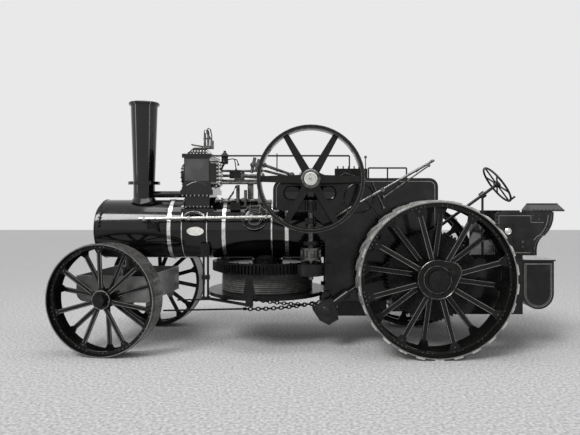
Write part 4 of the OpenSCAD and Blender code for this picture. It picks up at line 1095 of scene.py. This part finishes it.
def driving_gear(side):
    """A toothed ring and its web, between the wheel and the engine's side."""
    matrix = wheel_frame(REAR, side)
    gear = bmesh.new()
    low, high = GEAR_Z
    outline = []
    for k in range(GEAR_TEETH):
        for share, radius in ((0, TOOTH_ROOT_R), (0.2, TOOTH_ROOT_R), (0.35, GEAR_R), (0.65, GEAR_R),
                              (0.8, TOOTH_ROOT_R)):
            outline.append((360 * (k + share) / GEAR_TEETH, radius))
    walls = []
    for z in (low, high):
        walls.append(([gear.verts.new(matrix @ around(r, a, z)) for a, r in outline],
                      [gear.verts.new(matrix @ around(RING_INNER_R, a, z)) for a, r in outline]))
    for k in range(len(outline)):
        j = (k + 1) % len(outline)
        for outer, inner in walls:
            gear.faces.new([outer[k], outer[j], inner[j], inner[k]])
        for near, far in zip(*walls):
            gear.faces.new([near[k], near[j], far[j], far[k]])
    lathe(gear, [(0.132, 0.03), (0.132, low), (0.19, low), (0.19, 0.022), (RING_INNER_R, 0.022),
                 (RING_INNER_R, 0.044), (0.19, 0.044), (0.19, high), (0.132, high), (0.132, 0.03)],
          matrix, 64)
    piece(f"driving_gear_{side}", gear, gear_iron, f"rear_wheel_{side}", smooth=False)


for side in ("left", "right"):
    driving_gear(side)

# Tray between the front wheels. A shallow box of folded steel sheet, bolted on the fore carriage and
# turning with it, never polished. Its light grey is painted light, which shows the tray as sunlit.
# Painted sunlight in the tray's colour: a mid grey with hardly any mirror
tray_grey_painted_sunlit = finish("tray grey painted sunlit", "#6A6A69", "#828281", 160, (0.3, 0.45), coat=0.3, bump_mm=0.3)
wear(tray_grey_painted_sunlit, "fore_tray")

# Studio. A pale plain surround and floor, a soft sun over the camera's left shoulder, a long soft box
# above the boiler and two upright ones, which draw the bright lines along its gloss. What the camera
# sees, and what gloss mirrors, is the pale backdrop, and the rest of the surround only fills.
world = bpy.data.worlds.new("studio")
scene.world = world
world.use_nodes = True
studio = world.node_tree
rays = add(studio, "ShaderNodeLightPath").outputs
shown = rays["Is Camera Ray"]
for ray in ("Is Glossy Ray", "Is Transmission Ray"):
    shown = add(studio, "ShaderNodeMath", {"operation": "MAXIMUM"}, {0: shown, 1: rays[ray]}).outputs[0]
fill = add(studio, "ShaderNodeBackground", inputs={"Color": rgb("#FFFFFF"), "Strength": 0.45})
backdrop = add(studio, "ShaderNodeBackground", inputs={"Color": rgb("#E9E9E9"), "Strength": 1.0})
mix = add(studio, "ShaderNodeMixShader", inputs={0: shown, 1: fill.outputs[0], 2: backdrop.outputs[0]})
studio.links.new(mix.outputs[0], studio.nodes["World Output"].inputs["Surface"])

sun_data = bpy.data.lights.new("sun", "SUN")
sun_data.energy = 2.3
sun_data.angle = math.radians(25)
sun = bpy.data.objects.new("sun", sun_data)
sun.rotation_euler = (math.radians(46), 0, math.radians(-35))
bpy.context.collection.objects.link(sun)
# Columns: place, aim, length, width and power in watts of a soft box
SOFT_BOXES = [(at(-1.9, -0.9, 7.0), at(-1.9, 0, 1.6), 7.0, 2.2, 185),
              (at(-12.5, -4.0, 4.4), at(-3.5, 0, 2.4), 1.0, 4.5, 85),
              (at(7.5, -6.0, 4.4), at(-2.5, 0, 2.0), 1.0, 4.5, 85)]
for index, (place, aim, length, width, watts) in enumerate(SOFT_BOXES):
    soft_data = bpy.data.lights.new(f"soft_box_{index}", "AREA")
    soft_data.shape = "RECTANGLE"
    soft_data.size = length
    soft_data.size_y = width
    soft_data.energy = watts
    soft_box = bpy.data.objects.new(f"soft_box_{index}", soft_data)
    soft_box.location = place
    soft_box.rotation_euler = (aim - place).to_track_quat("-Z", "Y").to_euler()
    soft_box.visible_camera = False
    bpy.context.collection.objects.link(soft_box)

bpy.ops.mesh.primitive_plane_add(size=60, location=(0, 0, 0))
floor = bpy.context.object
floor.name = "floor"
floor_material, tree, surface, place = shader("studio floor")
shade = add(tree, "ShaderNodeMix", {"data_type": "RGBA"},
            {0: mottle(tree, place, 35, 8, 0.35, 0.65), 6: rgb("#9C9C9C"), 7: rgb("#CACACA")})
tree.links.new(shade.outputs[2], surface.inputs["Base Color"])
surface.inputs["Roughness"].default_value = 0.95
floor.data.materials.append(floor_material)
